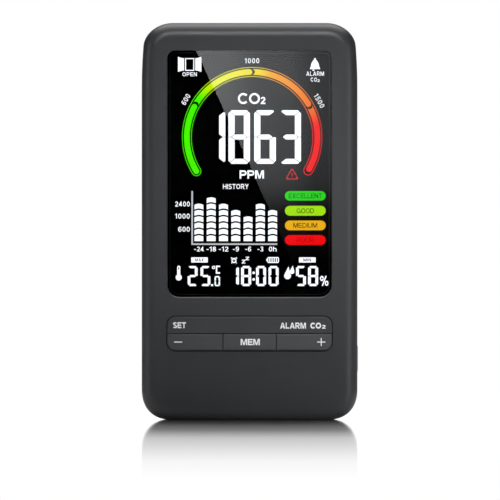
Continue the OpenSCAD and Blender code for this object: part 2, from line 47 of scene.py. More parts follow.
# ---- Sizes of the case, in millimetres, as the CAD has them ----
BODY_W, BODY_H = 81.5, 150.0
FRONT, BACK, SEAM = -12.5, 13.5, 4.5
WALL = 2.2
INNER_FRONT, INNER_BACK = FRONT + 2.4, BACK - WALL
FOOT, HEAD_W, HEAD_H = 12.0, 10.2, 8.7
TAPER, TAPER_H = 1.5, 24.5
FRONT_ROUND, BACK_ROUND = 5.2, 4.5
LENS = (62.0, 93.0, 93.0)
LENS_FRONT, LENS_BACK = -12.1, -10.6
LEDGE, LEDGE_BACK = -10.45, -9.0
KEYS_W, KEYS_TOP, KEYS_SEAM, KEYS_FOOT, KEYS_R = 61.9, 39.0, 32.65, 26.4, 3.0
KEY_GAP, MEM_HALF, KEY_REAR, BOSS_TIP = 0.25, 10.05, -10.8, -8.0
ROCKER_FACE, KEY_TOP_FACE, KEY_LEAN = -13.15, -12.75, 0.128
PIN_Y, RIB_Z = -9.1, 32.65
POWER_Y, POWER_Z, POWER_LEN, POWER_WID, POWER_OUT = 0.1, 23.0, 10.4, 3.6, 41.0
USB_Y, USB_Z = 0.2, 40.0
CASE_SCREWS = ((-32, 10), (32, 10), (-29, 143.4), (29, 143.4))
BOARD_SCREWS = ((-26, 19.5), (26, 19.5), (-33.7, 50), (33.7, 50), (-33.7, 122), (33.7, 122))
STAND_W, HINGE_Z, HINGE_Y, STAND_FOOT = 44.0, 76.0, 11.3, 7.8
RECESS, RECESS_TOP = 10.9, 79.2
VENT_Z, BUZZER = 112.0, (25.0, 92.0)
HANG_HEAD, HANG_SLOT, HANG_BACK = 131.0, 137.5, 7.6
GLASS_FRONT = -8.9

SHARP = math.radians(12)


# ---- Outlines: counter-clockwise lists of (x, z) seen from the front ----


def case_outline(steps=26):
    side = []
    for i in range(steps + 1):
        t = math.radians(90 * i / steps)
        power = 2 / 2.4
        side.append((BODY_W / 2 - FOOT + FOOT * math.sin(t) ** power,
                     FOOT - FOOT * max(0.0, math.cos(t)) ** power))
    for i in range(12):
        side.append((BODY_W / 2, BODY_H - TAPER_H + i * (TAPER_H - HEAD_H) / 12))
    for i in range(steps + 1):
        t = math.radians(90 * i / steps)
        side.append((BODY_W / 2 - HEAD_W * (1 - math.cos(t)), BODY_H - HEAD_H * (1 - math.sin(t))))
    side = [(x - TAPER * max(0.0, (z - BODY_H + TAPER_H) / TAPER_H) ** 2, z) for x, z in side]
    return side + [(-x, z) for x, z in reversed(side)]


def inset(path, d):
    n, out = len(path), []
    for i in range(n):
        tx, tz = path[(i + 1) % n][0] - path[i - 1][0], path[(i + 1) % n][1] - path[i - 1][1]
        size = math.hypot(tx, tz)
        out.append((path[i][0] - d * tz / size, path[i][1] + d * tx / size))
    return out


def round_box(x0, z0, x1, z1, radii, steps=14):
    """Corner radii are for low right, high right, high left and low left."""
    out = []
    for k, r in enumerate(radii):
        r = max(r, 0.02)
        cx = x1 - r if k in (0, 1) else x0 + r
        cz = z1 - r if k in (1, 2) else z0 + r
        for i in range(steps + 1):
            t = math.radians(90 * (k - 1) + 90 * i / steps)
            out.append((cx + r * math.cos(t), cz + r * math.sin(t)))
    return out


def lens_path(grow):
    w, h, zc = LENS
    foot, head = 4.6 + grow, 2.8 + grow
    return round_box(-w / 2 - grow, zc - h / 2 - grow, w / 2 + grow, zc + h / 2 + grow,
                     (foot, head, head, foot), 20)


def uneven_lens_path(left, foot, rest):
    """Window outline with its left, low and other sides moved out by different distances."""
    w, h, zc = LENS
    return round_box(-w / 2 - left, zc - h / 2 - foot, w / 2 + rest, zc + h / 2 + rest,
                     (4.6 + rest, 2.8 + rest, 2.8 + rest, 4.6 + min(left, foot)), 20)


def keys_path(grow):
    g = grow + KEY_GAP
    return round_box(-KEYS_W / 2 - g, KEYS_FOOT - g, KEYS_W / 2 + g, KEYS_TOP + g, [KEYS_R + g] * 4, 18)


def circle(x, z, r, steps=40):
    return [(x + r * math.cos(math.tau * i / steps), z + r * math.sin(math.tau * i / steps))
            for i in range(steps)]


def centred_box(x, z, w, h, r, steps=10):
    return round_box(x - w / 2, z - h / 2, x + w / 2, z + h / 2, [r] * 4, steps)


# ---- Mesh building ----


def new_object(name, bm):
    mesh = bpy.data.meshes.new(name)
    bm.normal_update()
    bm.to_mesh(mesh)
    bm.free()
    obj = bpy.data.objects.new(name, mesh)
    bpy.context.scene.collection.objects.link(obj)
    return obj


def stack(name, rings, place=None):
    """Solid through rings of (path, y), from front to back, which hold equal numbers of points. y may be a
    function of (x, z). place turns the points, drawn in the front plane, to where they belong."""
    bm = bmesh.new()
    rows = []
    for path, y in rings:
        row = []
        for x, z in path:
            p = Vector((x, y(x, z) if callable(y) else y, z)) * MM
            row.append(bm.verts.new(place @ p if place else p))
        rows.append(row)
    n = len(rows[0])
    for a, b in zip(rows, rows[1:]):
        for i in range(n):
            j = (i + 1) % n
            bm.faces.new((a[i], a[j], b[j], b[i]))
    bm.faces.new(list(reversed(rows[0])))
    bm.faces.new(rows[-1])
    bmesh.ops.recalc_face_normals(bm, faces=bm.faces)
    return new_object(name, bm)


def block(x0, y0, z0, x1, y1, z1, name="block"):
    return stack(name, [([(x0, z0), (x1, z0), (x1, z1), (x0, z1)], y) for y in (y0, y1)])


def rod_y(x, z, r, y0, y1, name="rod", steps=40):
    return stack(name, [(circle(x, z, r, steps), y) for y in (y0, y1)])


def rod_x(y, z, r, x0, x1, name="rod", steps=40):
    turn = Matrix.Rotation(math.pi / 2, 4, "Z")
    return stack(name, [(circle(y, z, r, steps), -x) for x in (x1, x0)], turn)


def final_mesh(obj):
    """Applies the object's modifiers."""
    depsgraph = bpy.context.evaluated_depsgraph_get()
    mesh = bpy.data.meshes.new_from_object(obj.evaluated_get(depsgraph))
    obj.modifiers.clear()
    old, obj.data = obj.data, mesh
    mesh.name = obj.name
    bpy.data.meshes.remove(old)
    return obj


def combine(obj, others, operation):
    """Adds or cuts each of the others, and removes it."""
    for other in others:
        mod = obj.modifiers.new("combine", "BOOLEAN")
        mod.operation, mod.solver, mod.object = operation, "EXACT", other
        final_mesh(obj)
        mesh = other.data
        bpy.data.objects.remove(other)
        bpy.data.meshes.remove(mesh)
    return obj


def add(obj, *others):
    return combine(obj, others, "UNION")


def cut(obj, *others):
    return combine(obj, others, "DIFFERENCE")


def lip(path_of, y0, depth, r, grow=0.0, into=1):
    """Rings of a cutter that goes in from the face at y0 and leaves a rounded lip of radius r."""
    profile = ((1.5, -0.134), (0.5, 0.134), (0.134, 0.5), (0.0, 1.0))
    rings = [(path_of(grow + r * out), y0 + into * r * down) for out, down in profile]
    rings.append((path_of(grow), y0 + into * depth))
    return rings if into > 0 else rings[::-1]


def edge_rings(path, y, r, steps, into=1, depth=None):
    """Rings of a rounded edge, from the face at y out to the side."""
    depth = depth or r
    out = []
    for i in range(steps + 1):
        u = math.radians(90 * i / steps)
        out.append((inset(path, r * (1 - math.sin(u))), y + into * depth * (1 - math.cos(u))))
    return out


def finish_piece(obj, body, slot, material, *nodes):
    obj.data.materials.clear()
    obj.data.materials.append(material)
    for face in obj.data.polygons:
        face.use_smooth = True
        face.material_index = 0
    obj.data.set_sharp_from_angle(angle=SHARP)
    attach(obj, body)
    if nodes:
        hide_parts(*nodes)
    return obj


# ---- Materials ----


class Shader:
    """A material of one Principled shader, with helpers for its pattern nodes."""

    def __init__(self, name, color=(0.8, 0.8, 0.8), roughness=0.5, **values):
        self.material = bpy.data.materials.new(name)
        self.material.use_nodes = True
        self.tree = self.material.node_tree
        self.nodes, self.links = self.tree.nodes, self.tree.links
        self.bsdf = next(n for n in self.nodes if n.type == "BSDF_PRINCIPLED")
        self.set("Base Color", (*color, 1))
        self.set("Roughness", roughness)
        for key, value in values.items():
            self.set(key.replace("_", " "), value)
        self.coords = None
        self.bump_in = None

    def set(self, socket, value):
        self.bsdf.inputs[socket].default_value = value

    def position(self):
        if not self.coords:
            self.coords = self.nodes.new("ShaderNodeTexCoord")
        return self.coords.outputs["Object"]

    def stretched(self, scale):
        mapping = self.nodes.new("ShaderNodeMapping")
        mapping.inputs["Scale"].default_value = scale
        self.links.new(self.position(), mapping.inputs["Vector"])
        return mapping.outputs["Vector"]

    def noise(self, scale, detail=2.0, stretch=None, roughness=0.5):
        node = self.nodes.new("ShaderNodeTexNoise")
        node.inputs["Scale"].default_value = scale
        node.inputs["Detail"].default_value = detail
        node.inputs["Roughness"].default_value = roughness
        self.links.new(self.stretched(stretch) if stretch else self.position(), node.inputs["Vector"])
        return node.outputs["Fac"]

    def cells(self, scale, stretch=None):
        node = self.nodes.new("ShaderNodeTexVoronoi")
        node.inputs["Scale"].default_value = scale
        self.links.new(self.stretched(stretch) if stretch else self.position(), node.inputs["Vector"])
        return node.outputs["Distance"]

    def ramp(self, fac, stops, mode="LINEAR"):
        node = self.nodes.new("ShaderNodeValToRGB")
        node.color_ramp.interpolation = mode
        elements = node.color_ramp.elements
        while len(elements) < len(stops):
            elements.new(0.5)
        for element, (at, color) in zip(elements, stops):
            element.position, element.color = at, (*color, 1)
        self.links.new(fac, node.inputs["Fac"])
        return node.outputs["Color"]

    def spread(self, fac, low, high):
        node = self.nodes.new("ShaderNodeMapRange")
        node.inputs["To Min"].default_value, node.inputs["To Max"].default_value = low, high
        self.links.new(fac, node.inputs["Value"])
        return node.outputs["Result"]

    def feed(self, socket, output):
        self.links.new(output, self.bsdf.inputs[socket])
        return self

    def bump(self, fac, strength, distance):
        node = self.nodes.new("ShaderNodeBump")
        node.inputs["Strength"].default_value = strength
        node.inputs["Distance"].default_value = distance
        self.links.new(fac, node.inputs["Height"])
        if self.bump_in:
            self.links.new(self.bump_in, node.inputs["Normal"])
        self.bump_in = node.outputs["Normal"]
        self.links.new(self.bump_in, self.bsdf.inputs["Normal"])
        return self


def near(color, amount):
    return tuple(min(1.0, c * (1 + amount)) for c in color)


def moulded(name, color, roughness, grain=0.35, grain_size=2600, vary=0.1):
    """Moulded plastic with an even spark-eroded grain and a slow drift of shade."""
    s = Shader(name, color, roughness, Specular_IOR_Level=0.5)
    drift = s.noise(45, 3)
    s.feed("Base Color", s.ramp(drift, ((0.25, near(color, -vary)), (0.75, near(color, vary)))))
    s.feed("Roughness", s.spread(s.noise(140, 4), roughness - 0.05, roughness + 0.05))
    s.bump(s.noise(grain_size, 3, roughness=0.6), grain, 0.00003)
    return s.material


def metal(name, color, roughness, stretch=(1, 1, 1), scale=900):
    s = Shader(name, color, roughness, Metallic=1.0)
    lines = s.noise(scale, 4, stretch)
    s.feed("Base Color", s.ramp(lines, ((0.3, near(color, -0.12)), (0.7, near(color, 0.08)))))
    s.feed("Roughness", s.spread(lines, roughness - 0.07, roughness + 0.09))
    s.bump(lines, 0.25, 0.00002)
    return s.material


def board_green(name, mask, copper):
    """Solder mask over glass weave, with copper tracks that show through as a lighter shade."""
    s = Shader(name, mask, 0.32, Specular_IOR_Level=0.55)
    tracks = s.cells(420, (1, 1, 0.25))
    s.feed("Base Color", s.ramp(tracks, ((0.08, copper), (0.12, mask), (0.5, mask), (0.9, near(mask, 0.25)))))
    s.bump(tracks, 0.2, 0.00003)
    s.bump(s.noise(1800, 2, (1, 1, 1)), 0.1, 0.00002)
    return s.material


def foam(name, color):
    s = Shader(name, color, 0.95, Specular_IOR_Level=0.2)
    holes = s.cells(1900)
    s.feed("Base Color", s.ramp(holes, ((0.1, near(color, -0.4)), (0.6, near(color, 0.6)))))
    s.bump(holes, 0.8, 0.0001)
    return s.material


def foil(name, color):
    """Crinkled pouch foil."""
    s = Shader(name, color, 0.38, Metallic=1.0)
    creases = s.noise(160, 5, roughness=0.65)
    s.feed("Roughness", s.spread(creases, 0.28, 0.5))
    s.feed("Base Color", s.ramp(creases, ((0.3, near(color, -0.15)), (0.7, near(color, 0.1)))))
    s.bump(creases, 0.5, 0.00025)
    return s.material


def sheath(name, color):
    s = Shader(name, color, 0.45, Specular_IOR_Level=0.4)
    ripple = s.noise(500, 2)
    s.feed("Base Color", s.ramp(ripple, ((0.3, near(color, -0.15)), (0.7, near(color, 0.15)))))
    s.bump(ripple, 0.2, 0.00005)
    return s.material


def fibres(name, color):
    s = Shader(name, color, 0.9, Specular_IOR_Level=0.2)
    mat = s.noise(1500, 5, roughness=0.7)
    s.feed("Base Color", s.ramp(mat, ((0.35, near(color, -0.12)), (0.65, near(color, 0.05)))))
    s.bump(mat, 0.5, 0.00006)
    return s.material


def clear(name, color, roughness, transmission, ior=1.49):
    s = Shader(name, color, roughness, Transmission_Weight=transmission, IOR=ior)
    s.bump(s.noise(60, 2), 0.02, 0.00002)
    return s.material


def glowing(name, color, strength):
    """A lit display segment. Its light drifts by a few percent, as liquid crystal does."""
    s = Shader(name, (0.01, 0.01, 0.01), 0.5, Specular_IOR_Level=0.0)
    s.feed("Emission Color", s.ramp(s.noise(300, 2), ((0.2, near(color, -0.04)), (0.8, color))))
    s.set("Emission Strength", strength)
    return s.material


def printed(name, color):
    """Screen-printed ink."""
    s = Shader(name, color, 0.55, Specular_IOR_Level=0.4)
    speckle = s.noise(2200, 3)
    s.feed("Base Color", s.ramp(speckle, ((0.25, near(color, -0.12)), (0.7, near(color, 0.03)))))
    s.bump(speckle, 0.2, 0.00002)
    return s.material


CASE = (0.0206, 0.0217, 0.0243)
KEY = (0.031, 0.0325, 0.0355)
case_plastic = moulded("case_plastic", CASE, 0.43)
# lighter, glossier copy of the case plastic for the lip round the window: a painted highlight along the window's
# edge
lip_highlight_plastic = moulded("lip_highlight_plastic", (0.05, 0.052, 0.056), 0.16, grain=0.1)
key_plastic = moulded("key_plastic", KEY, 0.38, grain=0.2)
inside_plastic = moulded("inside_plastic", (0.02, 0.02, 0.021), 0.5)
ivory_plastic = moulded("ivory_plastic", (0.72, 0.68, 0.56), 0.45)
white_plastic = moulded("white_plastic", (0.85, 0.85, 0.82), 0.4)
tan_ceramic = moulded("tan_ceramic", (0.42, 0.31, 0.17), 0.4)
steel = metal("bright_steel", (0.6, 0.61, 0.63), 0.22, (1, 1, 0.1))
screw_steel = metal("screw_steel", (0.46, 0.47, 0.5), 0.3)
gold = metal("gold_plate", (0.85, 0.6, 0.25), 0.25)
window_plastic = clear("window_plastic", (0.82, 0.82, 0.84), 0.0, 1.0)
guide_plastic = clear("guide_plastic", (0.9, 0.95, 0.97), 0.08, 0.9)
lamp_resin = glowing("lamp_resin", (1.0, 0.93, 0.7), 0.6)
contact_rubber = sheath("contact_rubber", (0.55, 0.3, 0.32))
black_foam = foam("black_foam", (0.015, 0.015, 0.016))
battery_foil = foil("battery_foil", (0.62, 0.64, 0.67))
lead_red, lead_black = sheath("lead_red", (0.5, 0.02, 0.015)), sheath("lead_black", (0.012, 0.012, 0.012))
green_board = board_green("green_board", (0.02, 0.14, 0.06), (0.05, 0.24, 0.1))
blue_board = board_green("blue_board", (0.015, 0.07, 0.22), (0.04, 0.13, 0.32))
membrane = fibres("membrane", (0.88, 0.88, 0.84))
legend_ink = printed("legend_ink", (0.93, 0.94, 0.96))
LIT = 1.64
white_light = glowing("white_light", (0.93, 0.97, 1.0), LIT)
grey_light = glowing("grey_light", (0.42, 0.43, 0.45), LIT)
green_light = glowing("green_light", (0.012, 0.72, 0.0), 1.2)
lime_light = glowing("lime_light", (0.42, 0.92, 0.0), 1.1)
amber_light = glowing("amber_light", (0.95, 0.5, 0.005), 1.15)
red_light = glowing("red_light", (0.95, 0.0, 0.002), 1.2)
dim_red = glowing("dim_red", (0.6, 0.015, 0.03), 1.1)
unlit = glowing("unlit", (0.004, 0.004, 0.004), 0.2)
black_glass = Shader("black_glass", (0.0006, 0.0006, 0.0007), 0.3, Specular_IOR_Level=0.03)
black_glass.bump(black_glass.noise(900, 2), 0.05, 0.00002)
black_glass = black_glass.material
black_tape = Shader("black_tape", (0.003, 0.003, 0.003), 0.8, Specular_IOR_Level=0.05)
black_tape.bump(black_tape.cells(1900), 0.3, 0.00004)
black_tape = black_tape.material

# ---- Front shell ----

outline = case_outline()


def make_front_shell():
    rings = [(inset(outline, FRONT_ROUND + 0.7), FRONT)]
    rings += edge_rings(outline, FRONT, FRONT_ROUND, 16)
    rings += [(outline, SEAM - 0.3), (inset(outline, 0.3), SEAM), (inset(outline, WALL), SEAM)]
    rings += [(inset(outline, WALL), INNER_FRONT)]
    shell = stack("front_case", rings)
    ledge = stack("ledge", [(lens_path(1.2), INNER_FRONT - 0.6), (lens_path(1.2), LEDGE_BACK)])
    bosses = [rod_y(x, z, 2.5, INNER_FRONT - 0.6, 4) for x, z in CASE_SCREWS]
    bosses += [rod_y(x, z, 2, INNER_FRONT - 0.6, -3) for x, z in BOARD_SCREWS]
    half = KEYS_W / 2 + 3.5
    rib = block(-half, INNER_FRONT - 0.3, RIB_Z - 1, half, -7.9, RIB_Z + 1)
    bearing = block(-2.4, PIN_Y, RIB_Z - 0.9, 2.4, -7.4, RIB_Z + 0.9)
    ear = block(-2.4, INNER_FRONT - 0.6, 39.9, 2.4, -7.41, 41.9)
    add(shell, ledge, *bosses)
    window = stack("window_cut", [
        (uneven_lens_path(out, out, 0.07 + (out - 0.07) * 0.12), FRONT + down) for out, down in
        ((0.55, -0.13), (0.45, -0.05), (0.4, 0.03), (0.12, 0.31), (0.07, 0.4), (0.07, LEDGE - FRONT))])
    through = stack("through_cut", [(lens_path(-1), -11), (lens_path(-1), -8)])
    keys = stack("keys_cut", lip(keys_path, FRONT, 3.2, 0.3))
    cut(shell, window, through, keys)
    add(shell, rib, bearing, ear)
    screw_holes = [rod_y(x, z, 1.2, -3, 5) for x, z in CASE_SCREWS]
    screw_holes += [rod_y(x, z, 0.85, -7, -2) for x, z in BOARD_SCREWS]
    turn = (Matrix.Translation(Vector((BODY_W / 2, POWER_Y, POWER_Z)) * MM)
            @ Matrix.Rotation(math.pi / 2, 4, "Z"))
    power = stack("power_cut", lip(lambda g: centred_box(0, 0, POWER_WID + 2 * g, POWER_LEN + 2 * g, 1.2 + g),
                                   0, WALL + 0.6, 0.25, 0.15), turn)
    turn = (Matrix.Translation(Vector((-BODY_W / 2, USB_Y, USB_Z)) * MM)
            @ Matrix.Rotation(-math.pi / 2, 4, "Z"))
    usb = stack("usb_cut", lip(lambda g: centred_box(0, 0, 3.2 + 2 * g, 8.94 + 2 * g, 1.59 + g, 14),
                               0, WALL + 0.6, 0.3, 0.3), turn)
    pin = stack("pin_cut", [(circle(0, 0, 0.9, 32), 0), (circle(0, 0, 0.9, 32), 12)],
                Matrix.Translation(Vector((0, PIN_Y, RIB_Z - 1.5)) * MM)
                @ Matrix.Rotation(math.pi / 2, 4, "X"))
    cut(shell, *screw_holes, power, usb, pin)
    finish_piece(shell, "housing", "case", case_plastic, "front_shell")
    # the lip chamfers round the window take the lighter copy of the case plastic, a painted highlight along its
    # edge
    shell.data.materials.append(lip_highlight_plastic)
    w, h, zc = LENS
    for face in shell.data.polygons:
        x, y, z = face.center / MM
        if abs(x) < w / 2 + 0.6 and abs(z - zc) < h / 2 + 0.6 and y < FRONT + 0.42 and face.normal.y > -0.93:
            face.material_index = 1
    return shell


# ---- Rear cover ----


def keyhole_path(g):
    """Round head hole with a narrower slot above it, as one outline."""
    head, slot = 4.0 + g, 2.1 + g
    meet = math.degrees(math.acos(slot / head))
    out = []
    for i in range(49):
        t = math.radians(meet - (180 + 2 * meet) * i / 48)
        out.append((head * math.cos(t), HANG_HEAD + head * math.sin(t)))
    for i in range(25):
        t = math.radians(180 - 180 * i / 24)
        out.append((slot * math.cos(t), HANG_SLOT + slot * math.sin(t)))
    return out[::-1]


def slot_path(x, z, w, h):
    return lambda g: centred_box(x, z, w + 2 * g, h + 2 * g, h / 2 - 0.01 + g, 6)


def make_rear_cover():
    half = STAND_W / 2 + 0.4
    inner = inset(outline, WALL)
    tongue_out, tongue_in = inset(outline, WALL + 0.15), inset(outline, WALL + 1.25)
    rings = [(inner, INNER_BACK), (inner, SEAM + 1), (tongue_in, SEAM + 1), (tongue_in, SEAM - 1.5)]
    rings += [(tongue_out, SEAM - 1.5), (tongue_out, SEAM), (inset(outline, 0.3), SEAM),
              (outline, SEAM + 0.3)]
    rings += edge_rings(outline, BACK, BACK_ROUND, 14, -1)[::-1]
    rings += [(inset(outline, BACK_ROUND + 0.7), BACK)]
    cover = stack("rear_case", rings)
    add(
        cover,
        block(-half - 1.6, RECESS - 1.6, 2, half + 1.6, INNER_BACK + 0.6, RECESS_TOP + 1.6),
        block(-half - 1.6, 7.4, HINGE_Z - 5, half + 1.6, INNER_BACK + 0.5, RECESS_TOP + 1.6),
        block(-6.4, HANG_BACK - 1.2, HANG_HEAD - 6.2, 6.4, INNER_BACK + 0.6, HANG_SLOT + 6.8),
        *[rod_y(x, z, 3.2, 4.2, INNER_BACK + 0.6) for x, z in CASE_SCREWS],
    )
    recess = stack("recess_cut", lip(
        lambda g: round_box(-half - g, STAND_FOOT - 0.4 - g, half + g, RECESS_TOP + g,
                            [2.6 + g, 0.8 + g, 0.8 + g, 2.6 + g]),
        BACK, BACK - RECESS, 0.35, 0, -1))
    scoop = stack("scoop_cut", [
        (circle(0, 9.9, r, 64), y)
        for r, y in ((5.4, RECESS), (6.2, RECESS + 0.5), (7, BACK - 1.1), (7.3, BACK - 0.3), (7.9, BACK + 0.4))])
    hinge = block(-half, 9, HINGE_Z - 3.4, half, BACK - 1, RECESS_TOP)
    hanger = stack("hanger_cut", lip(keyhole_path, BACK, WALL + 0.6, 0.3, 0, -1))
    pocket = block(-5.2, HANG_BACK, HANG_HEAD - 5, 5.2, INNER_BACK, HANG_SLOT + 5.6)
    vents = [stack("vent_cut", lip(slot_path(0, VENT_Z + (i - 3.5) * 2.4, 24, 1.5), BACK, WALL + 0.6, 0.2,
                                   0, -1))
             for i in range(8)]
    holes = [(BUZZER[0] + 3 * math.cos(math.radians(a)), BUZZER[1] + 3 * math.sin(math.radians(a)))
             for a in range(0, 360, 60)]
    sound = [stack("sound_cut", lip(lambda g, x=x, z=z: circle(x, z, 0.7 + g, 24), BACK, WALL + 0.6, 0.15,
                                    0, -1))
             for x, z in [*holes, BUZZER]]
    wells = [stack("well_cut", lip(lambda g, x=x, z=z: circle(x, z, 2.3 + g), BACK, BACK - 10.5, 0.25, 0, -1))
             for x, z in CASE_SCREWS]
    shafts = [rod_y(x, z, 1.3, 3.5, 11) for x, z in CASE_SCREWS]
    pin = rod_x(HINGE_Y, HINGE_Z, 1, -half - 1.2, half + 1.2)
    cut(cover, recess, scoop, hinge, pin, hanger, pocket, *vents, *sound, *wells, *shafts)
    return finish_piece(cover, "housing", "case", case_plastic, "rear_cover")


# ---- Window ----


def make_window():
    path = lens_path(0)
    rings = [(inset(path, 0.9), LENS_FRONT), *edge_rings(path, LENS_FRONT, 0.04, 3), (path, LENS_BACK)]
    return finish_piece(stack("window", rings), "housing", "window", window_plastic, "display_lens")


# ---- Keys ----


KEY_EDGE, KEY_PART, KEY_OUT = 0.3, 0.07, 0.08
CAP_REAR, ROCKER_REAR = -10.85, -11.04


def key_cap(name, x0, z0, x1, z1, radii, face, lean=0.0, rear=CAP_REAR):
    def path(d):
        return round_box(x0 + d, z0 + d, x1 - d, z1 - d, [r - d for r in radii], 12)

    def at(y):
        return lambda x, z: y + lean * (z - z1)

    rings = [(path(0.7), at(face))]
    for i in range(7):
        u = math.radians(15 * i)
        rings.append((path(KEY_EDGE * (1 - math.sin(u))), at(face + KEY_EDGE * (1 - math.cos(u)))))
    rings += [(path(0), rear)]
    return stack(name, rings)


def make_rocker():
    cap = key_cap("rocker_cap", -KEYS_W / 2 - KEY_OUT, KEYS_SEAM + KEY_PART, KEYS_W / 2 + KEY_OUT,
                  KEYS_TOP + KEY_OUT,
                  (0.3, KEYS_R, KEYS_R, 0.3), ROCKER_FACE, rear=ROCKER_REAR)
    lug = block(-2.2, KEY_REAR - 0.6, RIB_Z + 1.3, 2.2, -7.8, KEYS_TOP - 0.1)
    add(cap, lug, *[rod_y(x, (KEYS_TOP + KEYS_SEAM) / 2, 1.5, KEY_REAR - 0.6, BOSS_TIP) for x in (-22, 22)])
    bore = stack("bore_cut", [(circle(0, 0, 0.95, 32), 0), (circle(0, 0, 0.95, 32), 10)],
                 Matrix.Translation(Vector((0, PIN_Y, RIB_Z)) * MM) @ Matrix.Rotation(math.pi / 2, 4, "X"))
    cut(cap, bore)
    return finish_piece(cap, "rocker", "key", key_plastic, "set_alarm_rocker")


def make_lower_key(name, x0, x1, radii, boss, body, node):
    cap = key_cap(name, x0, KEYS_FOOT - KEY_OUT, x1, KEYS_SEAM - KEY_PART, radii, KEY_TOP_FACE, KEY_LEAN)
    add(
        cap,
        block(x0 + 1.8, KEY_REAR - 0.6, KEYS_FOOT + 0.3, x1 - 1.8, -9.1, RIB_Z - 1.3),
        block(x0 + 1, -9.9, KEYS_FOOT - 1.4, x1 - 1, -9.11, KEYS_FOOT + 1),
        rod_y(boss, (KEYS_FOOT + KEYS_SEAM) / 2 - 0.2, 1.5, KEY_REAR - 0.6, BOSS_TIP),
    )
    return finish_piece(cap, body, "key", key_plastic, node)


def make_power_button():
    def box(g):
        return centred_box(0, 0, POWER_WID + 2 * g, POWER_LEN + 2 * g, 1.2 + g, 12)

    turn = Matrix.Translation(Vector((0, POWER_Y, POWER_Z)) * MM) @ Matrix.Rotation(math.pi / 2, 4, "Z")
    rings = [(box(-1.1), -POWER_OUT), *[(box(-0.5 * (1 - math.sin(u))), -POWER_OUT + 0.5 * (1 - math.cos(u)))
                                        for u in [math.radians(15 * i) for i in range(7)]]]
    rings += [(box(0), -37.9)]
    cap = stack("power_cap", rings, turn)
    flange = stack("flange", [(centred_box(0, 0, POWER_WID + 1.4, POWER_LEN + 2, 1.4, 10), y)
                              for y in (-38.35, -37.45)], turn)
    add(cap, flange, rod_x(POWER_Y, POWER_Z, 1, 37.2, 37.75))
    return finish_piece(cap, "power_push", "key", key_plastic, "power_button")


# ---- Stand ----


def make_stand():
    def path(d):
        return round_box(d - STAND_W / 2, STAND_FOOT + d, STAND_W / 2 - d, HINGE_Z - 1,
                         [2.4 - d, 0.6 - d, 0.6 - d, 2.4 - d])

    rings = [(path(0.3), 11.1), (path(0), 11.4), (path(0), 12.9)]
    rings += [(path(0.5 * (1 - math.cos(u))), 12.9 + 0.5 * math.sin(u))
              for u in [math.radians(18 * i) for i in range(1, 6)]]
    plate = stack("stand_plate", rings)
    add(plate, rod_x(HINGE_Y, HINGE_Z, 2, -STAND_W / 2, STAND_W / 2, steps=64))
    ribs = [stack("rib_cut", [(centred_box(0, 12.5 + 2.2 * i, 15, 0.9, 0.44, 6), y)
                              for y in (13.05, 13.6)]) for i in range(4)]
    cut(plate, rod_x(HINGE_Y, HINGE_Z, 1.05, -STAND_W / 2 - 1, STAND_W / 2 + 1), *ribs)
    return finish_piece(plate, "stand_flap", "case", case_plastic, "stand")


make_front_shell()
make_rear_cover()
make_window()
make_rocker()
make_lower_key("minus_cap", -KEYS_W / 2 - KEY_OUT, -MEM_HALF - KEY_PART, (0.3, 0.3, 0.3, KEYS_R), -20.5,
               "minus_button", "minus_key")
make_lower_key("mem_cap", -MEM_HALF + KEY_PART, MEM_HALF - KEY_PART, (0.3, 0.3, 0.3, 0.3), 0, "mem_button",
               "mem_key")
make_lower_key("plus_cap", MEM_HALF + KEY_PART, KEYS_W / 2 + KEY_OUT, (KEYS_R, 0.3, 0.3, 0.3), 20.5,
               "plus_button", "plus_key")
make_power_button()
make_stand()


# ---- Flat printed and lit shapes ----


def stroke(points, t, closed=False):
    """Both sides of a line of even width t, as two rows of points."""
    sides, n = ([], []), len(points)
    for i, (x, z) in enumerate(points):
        before = points[i - 1] if i or closed else points[0]
        after = points[(i + 1) % n] if i < n - 1 or closed else points[-1]
        d1, d2 = Vector((x - before[0], z - before[1])), Vector((after[0] - x, after[1] - z))
        d1, d2 = (d1 if d1.length else d2).normalized(), (d2 if d2.length else d1).normalized()
        along = (d1 + d2).normalized()
        reach = t / 2 / max(0.5, along.dot(d1))
        for side, sign in zip(sides, (1, -1)):
            side.append((x - sign * reach * along.y, z + sign * reach * along.x))
    if closed:
        sides = tuple(side + side[:1] for side in sides)
    return list(sides)


def oval(cx, cz, rx, rz, a0=0.0, a1=360.0, steps=28):
    n = steps if a1 - a0 == 360 else steps + 1
    return [(cx + rx * math.cos(math.radians(a0 + (a1 - a0) * i / steps)),
             cz + rz * math.sin(math.radians(a0 + (a1 - a0) * i / steps))) for i in range(n)]


